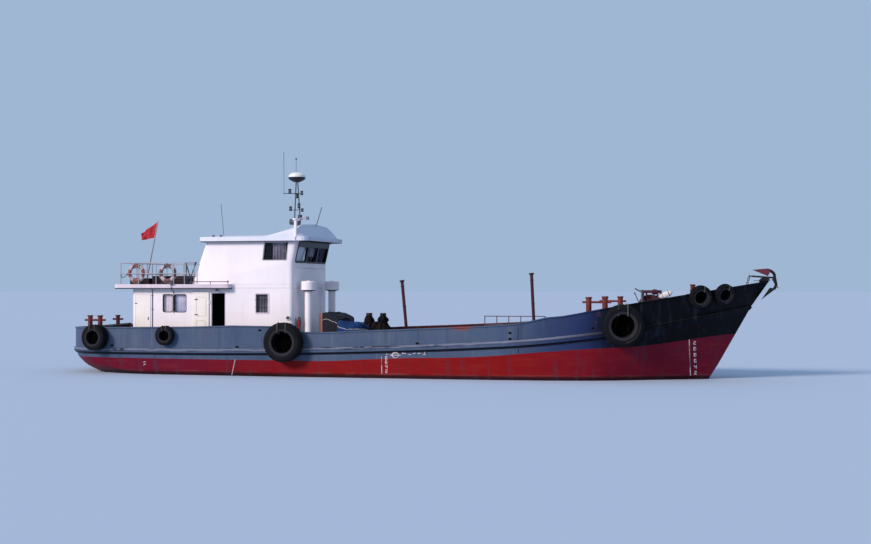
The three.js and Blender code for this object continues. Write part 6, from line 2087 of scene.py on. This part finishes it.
    def chain(self) -> None:
        """The anchor's chain: taut from its head to a pipe in the foredeck, and from the drum to another."""
        turned, pipes = [], Form()
        deck = self.skin.deck
        for start, end in ((Vector((12.4, 0, 3.5)), Vector((12.12, 0, deck(12.12) + 0.05))),
                           (Vector((9.2, 0, 2.74)), Vector((9.95, 0, deck(9.95) + 0.05)))):
            way = (end - start).normalized()
            for i in range(int((end - start).length / (self.link * 0.72))):
                turned.append(facing(way, start + way * self.link * 0.72 * i) @ Matrix.Rotation(i % 2 * math.pi / 2,
                                                                                                4, "Z"))
            ring = [(0.09, -0.04), (0.13, -0.04), (0.13, 0.03), (0.11, 0.06), (0.09, 0.03), (0.09, -0.04)]
            pipes.lathe(ring, (end.x, 0, end.z - 0.03), sides=28)
        pipes.fix("chain_pipes", STEEL, "dark_steel", 0.003)
        link = Form()
        long, wide, bar = self.link / 2, 0.032, 0.011
        route = []
        for c, s in spokes(16):
            lift = (long - wide) * (1 if s >= 0 else -1)
            route.append(Vector((wide * c, 0, wide * s + lift)))
        rings = []
        for k, point in enumerate(route):
            ahead = (route[(k + 1) % 16] - route[k - 1]).normalized()
            side = Vector((0, 1, 0))
            out = side.cross(ahead)
            rings.append([point + bar * (side * c + out * s) for c, s in spokes(6)])
        link.loft([*rings, rings[0]], capped=False)
        bmesh.ops.remove_doubles(link.mesh, verts=link.mesh.verts[:], dist=1e-5)
        self.spread("anchor_chain", link, turned, GALVANISED, "mooring_paint")

    def float(self) -> None:
        """The pale mooring float lashed on the starboard rail."""
        x = 9.77
        rail = self.skin.rail(x, Hand.STARBOARD)
        y = self.skin.touch(x, rail - 0.08, Hand.STARBOARD).y + 0.02
        profile = [(0, -0.22), (0.04, -0.21), (0.08, -0.17), (0.1, -0.08), (0.105, 0), (0.1, 0.08), (0.08, 0.17),
                   (0.04, 0.21),
                   (0, 0.24)]
        form = Form().lathe(profile, (x, y, rail + 0.1), (1, 0, 0.42), 32)
        form.fix("mooring_float", BUOY_WHITE, "buoy")
        bands = Form()
        for shift in (-0.1, 0.1):
            bands.lathe(band(0.085, 0.104, -0.012, 0.012, 0.004),
                        (x + shift, y, rail + 0.1 + 0.42 * shift), (1, 0, 0.42), 32)
        bands.fix("float_lashings", ROPE, "buoy")


@dataclass
class Fenders(Section):
    """Tyres hung over the side, each with its tread, bead and lashings."""

    # node, x, height, diameter, width, how many side by side, hand, how far out from the plate
    tyres: tuple[tuple[str, float, float, float, float, int, Hand, float], ...] = (
        ("tyre_quarter_starboard", -10.7, 1.32, 0.93, 0.2, 2, Hand.STARBOARD, 0.03),
        ("tyre_aft_starboard", -7.95, 1.41, 0.7, 0.19, 1, Hand.STARBOARD, 0.03),
        ("tyre_waist_starboard", -3.37, 1.22, 1.38, 0.43, 1, Hand.STARBOARD, 0.06),
        ("tyre_shoulder_starboard", 8.35, 1.87, 1.4, 0.43, 1, Hand.STARBOARD, 0.052),
        ("tyre_bow_starboard", 10.83, 2.82, 0.77, 0.19, 1, Hand.STARBOARD, 0.036),
        ("tyre_stem_starboard", 11.57, 2.9, 0.72, 0.18, 1, Hand.STARBOARD, 0.036),
        ("tyre_quarter_port", -10.7, 1.32, 0.93, 0.2, 2, Hand.PORT, 0.03),
        ("tyre_waist_port", -3.37, 1.22, 1.38, 0.43, 1, Hand.PORT, 0.06),
        ("tyre_shoulder_port", 8.35, 1.87, 1.4, 0.43, 1, Hand.PORT, 0.052),
    )
    pitch: float = 0.94

    def build(self) -> None:
        """Hangs every tyre."""
        for name, x, z, diameter, width, count, hand, out in self.tyres:
            way = self.skin.turn(x, z, hand)
            surface = self.skin.touch(x, z, hand)
            middles = []
            for i in range(count):
                at = surface + way * (out + width * (0.5 + i * self.pitch))
                middles.append(Vector((at.x, at.y, z)))
            self.tyre(name, middles, way, diameter / 2, width)
            self.lashing(name, middles[-1], way, diameter / 2, width, hand, x)

    def tyre(self, name: str, middles: Sequence[Vector], way: Vector, radius: float, width: float) -> None:
        """The tyres of one node: round walls, a treaded crown, paler beads, a near-black dish in each hole painted as
        its shade and, on the bow's tyres, a painted highlight along the lower rim.

        Args:
            name: The node.
            middles: Each tyre's middle.
            way: The axis, outboard.
            radius: The outer radius.
            width: The tyre's width.
        """
        half = width / 2
        bead = radius * 0.56
        wall = [
            (bead, -0.34), (bead + 0.03 * radius, -0.43), (radius * 0.7, -0.49), (radius * 0.82, -0.5),
            (radius * 0.91, -0.46), (radius * 0.962, -0.38), (radius * 0.972, -0.3),
        ]
        groove = [
            (radius * 0.972, -0.12), (radius * 0.945, -0.1), (radius * 0.945, 0.1), (radius * 0.972, 0.12),
        ]
        side = [(r, v * 2 * half) for r, v in wall]
        crown = [(r, v * 2 * half) for r, v in groove]
        back = [(r, -v) for r, v in side[::-1]]
        inner = [(radius * 0.66, 0.4 * half), (radius * 0.84, 0.0), (radius * 0.66, -0.4 * half)]
        profile = [*side, *crown, *back, *inner, side[0]]
        form, beads, dishes, blocks = Form(), Form(), Form(), []
        turn = facing(way, middles[-1])
        arc = [turn @ Vector((radius * 0.8 * math.cos(a), radius * 0.8 * math.sin(a), half * 1.005))
               for a in (math.radians(-80 + 8 * k) for k in range(12))]
        for at in middles:
            form.lathe(profile, at, way, 72)
            dish = [(0, -0.62 * half), (bead * 0.5, -0.66 * half), (bead * 1.04, -0.8 * half),
                    (bead * 1.04, -0.9 * half),
                    (0, -0.9 * half)]
            dishes.lathe(dish, at, way, 48)
            for sign in (-1, 1):
                ring = [(bead + grow * radius, sign * share * half) for grow, share in (
                    (-0.01, 0.7), (0.005, 0.9), (0.05, 0.96), (0.13, 1.002), (0.12, 0.9), (-0.01, 0.7))]
                beads.lathe(ring, at, way, 72)
            count = 44
            turn = facing(way, at)
            for k in range(count):
                for sign in (-1, 1):
                    angle = 2 * math.pi * (k + 0.25 * sign) / count
                    spin = Matrix.Rotation(angle, 4, "Z")
                    blocks.append(turn @ spin @ moved((radius * 0.985, 0, sign * 0.42 * half)))
        fit(form.piece("worn_" + name, TYRE, crease=40), "tyre", name)
        beads.fix(name + "_beads", TYRE_GREY, "tyre", crease=40)
        # The dish in each hole is near black, painted as the shade inside the tyre.
        dishes.fix(name + "_dishes", SHADE_BLACK, "tyre", crease=40)
        # A grey arc along the lower rim, a painted highlight.
        if middles[0].x > 8:
            self.bars(name + "_scuff", [arc], 0.012, RIM_HIGHLIGHT, "tyre", sides=8)
        deep, long = 0.014 * radius, 2 * math.pi * radius / 44 * 0.36
        block = Form().block((-deep, -long, -0.29 * half), (deep, long, 0.29 * half))
        self.spread(name + "_tread", block, blocks, TYRE, "tyre")

    def lashing(self, name: str, middle: Vector, way: Vector, radius: float, width: float, hand: Hand,
                x: float) -> None:
        """Two taut turns from the tyre's hole over its crown to the rail.

        Args:
            name: The node.
            middle: The outermost tyre's middle.
            way: The axis, outboard.
            radius: The outer radius.
            width: The tyre's width.
            hand: The side it hangs on.
            x: Its place along the boat.
        """
        skin = self.skin
        up = (UP - way * way.z).normalized()
        runs = []
        for shift in (-0.22, 0.22):
            along = Vector((shift * radius, 0, 0))
            point = lambda rise, out: middle + along + up * radius * rise + way * out
            rail = skin.rail(x + shift * radius, hand)
            plate = skin.touch(x + shift * radius, rail - 0.1, hand)
            inboard = -Vector((way.x, way.y, 0)).normalized()
            top = Vector((plate.x, plate.y, rail + 0.012))
            crown = 0.98 if middle.z + radius < rail else 1.015
            runs.append([
                point(0.45, 0.0), point(0.5, width / 2 + 0.006), point(0.85, width / 2 + 0.012),
                point(crown, width * 0.28),
                top + inboard * -0.045, top + inboard * 0.08, top + inboard * 0.09 - UP * 0.2,
            ])
        thick = 0.02 if radius > 0.5 else 0.014
        self.bars(name + "_lashings", runs, thick, ROPE, "tyre", bend=0.05, sides=8)


@dataclass
class Underwater(Section):
    """The rudder and the propeller."""

    def build(self) -> None:
        """Finishes the two, with the rudder's stiffeners and the anodes on the skeg."""
        fair_copy("rudder", (SIDE,), crease=50, slot="hull_paint", body="rudder_body")
        fair_copy("propeller", (BRONZE,), crease=50, slot="bronze", body="propeller_body")
        form = Form()
        for z in (-0.3, -0.58, -0.86):
            for side in (-1, 1):
                y = sorted((side * 0.0225, side * 0.036))
                form.block((-12.42, y[0], z), (-11.9, y[1], z + 0.03))
        form.fix("rudder_stiffeners", SIDE, "hull_paint", 0.002, body="rudder_body")
        anodes = Form()
        for side in (-1, 1):
            for x in (-10.0, -9.2):
                y = sorted((side * 0.079, side * 0.115))
                anodes.block((x, y[0], -1.0), (x + 0.3, y[1], -0.92))
        anodes.fix("skeg_anodes", GALVANISED, "hull_paint", 0.01)
        cap = [(0, -0.16), (0.03, -0.155), (0.07, -0.09), (0.088, 0.0), (0, 0.0)]
        nose = Form().lathe(cap, (-11.339, 0, -0.68), (1, 0, 0), 32)
        nose.fix("propeller_cap", BRONZE, "bronze", body="propeller_body")


@dataclass
class Studio:
    """A pale floor at the waterline, soft light, and the camera where the photograph was taken from."""

    camera_at: Place = (14.6567, -50.5038, 3.15)
    heading: float = 14.7634
    pitch: float = 0.593
    focal_px: float = 1450.0
    width_px: int = 871
    sun_turn: Place = (64, 0, -36)
    sun_power: float = 3.05
    sun_spread: float = 16

    def build(self) -> None:
        """Sets the floor, the lights and the camera."""
        self.floor()
        self.lights()
        self.camera()

    def floor(self) -> None:
        """The wide pale floor."""
        ground = Paint("studio_floor", "b7c5d9", rough=0.9, uneven=0.04, runs=0.0, rust=0.0, bump=0.0, grain=0.02)
        disc = Form().lathe([(0, -0.02), (900, -0.02), (900, 0), (0, 0)], sides=96).piece("floor", ground)

    def lights(self) -> None:
        """A soft key from aft over the starboard side, and an even pale world."""
        scene = bpy.context.scene
        scene.view_settings.view_transform = "Standard"
        world = bpy.data.worlds.new("studio")
        world.use_nodes = True
        world.node_tree.nodes["Background"].inputs["Color"].default_value = tint("b6d0f0")
        world.node_tree.nodes["Background"].inputs["Strength"].default_value = 0.75
        scene.world = world
        sun = bpy.data.lights.new("key", "SUN")
        sun.energy = self.sun_power
        sun.angle = math.radians(self.sun_spread)
        sun.color = tint("fff0e6")[:3]
        lamp = bpy.data.objects.new("key", sun)
        lamp.rotation_euler = [math.radians(angle) for angle in self.sun_turn]
        scene.collection.objects.link(lamp)

    def camera(self) -> None:
        """Puts the camera in place."""
        lens = bpy.data.cameras.new("camera")
        lens.sensor_width = 36.0
        lens.lens = self.focal_px * lens.sensor_width / self.width_px
        lens.clip_end = 2000
        eye = bpy.data.objects.new("camera", lens)
        eye.location = self.camera_at
        eye.rotation_euler = (math.radians(90 + self.pitch), 0, math.radians(self.heading))
        bpy.context.scene.collection.objects.link(eye)
        bpy.context.scene.camera = eye


def main() -> None:
    """Builds the boat and its studio."""
    logging.basicConfig(level=logging.INFO, format="%(name)s: %(message)s")
    Studio().build()
    yard = Yard()
    for section in (Hull, House, Doors, Roof, Platform, Deck, Bow, Fenders, Underwater):
        section(yard).build()
        log.info("%s done", section.__name__)


if __name__ == "__main__":
    main()
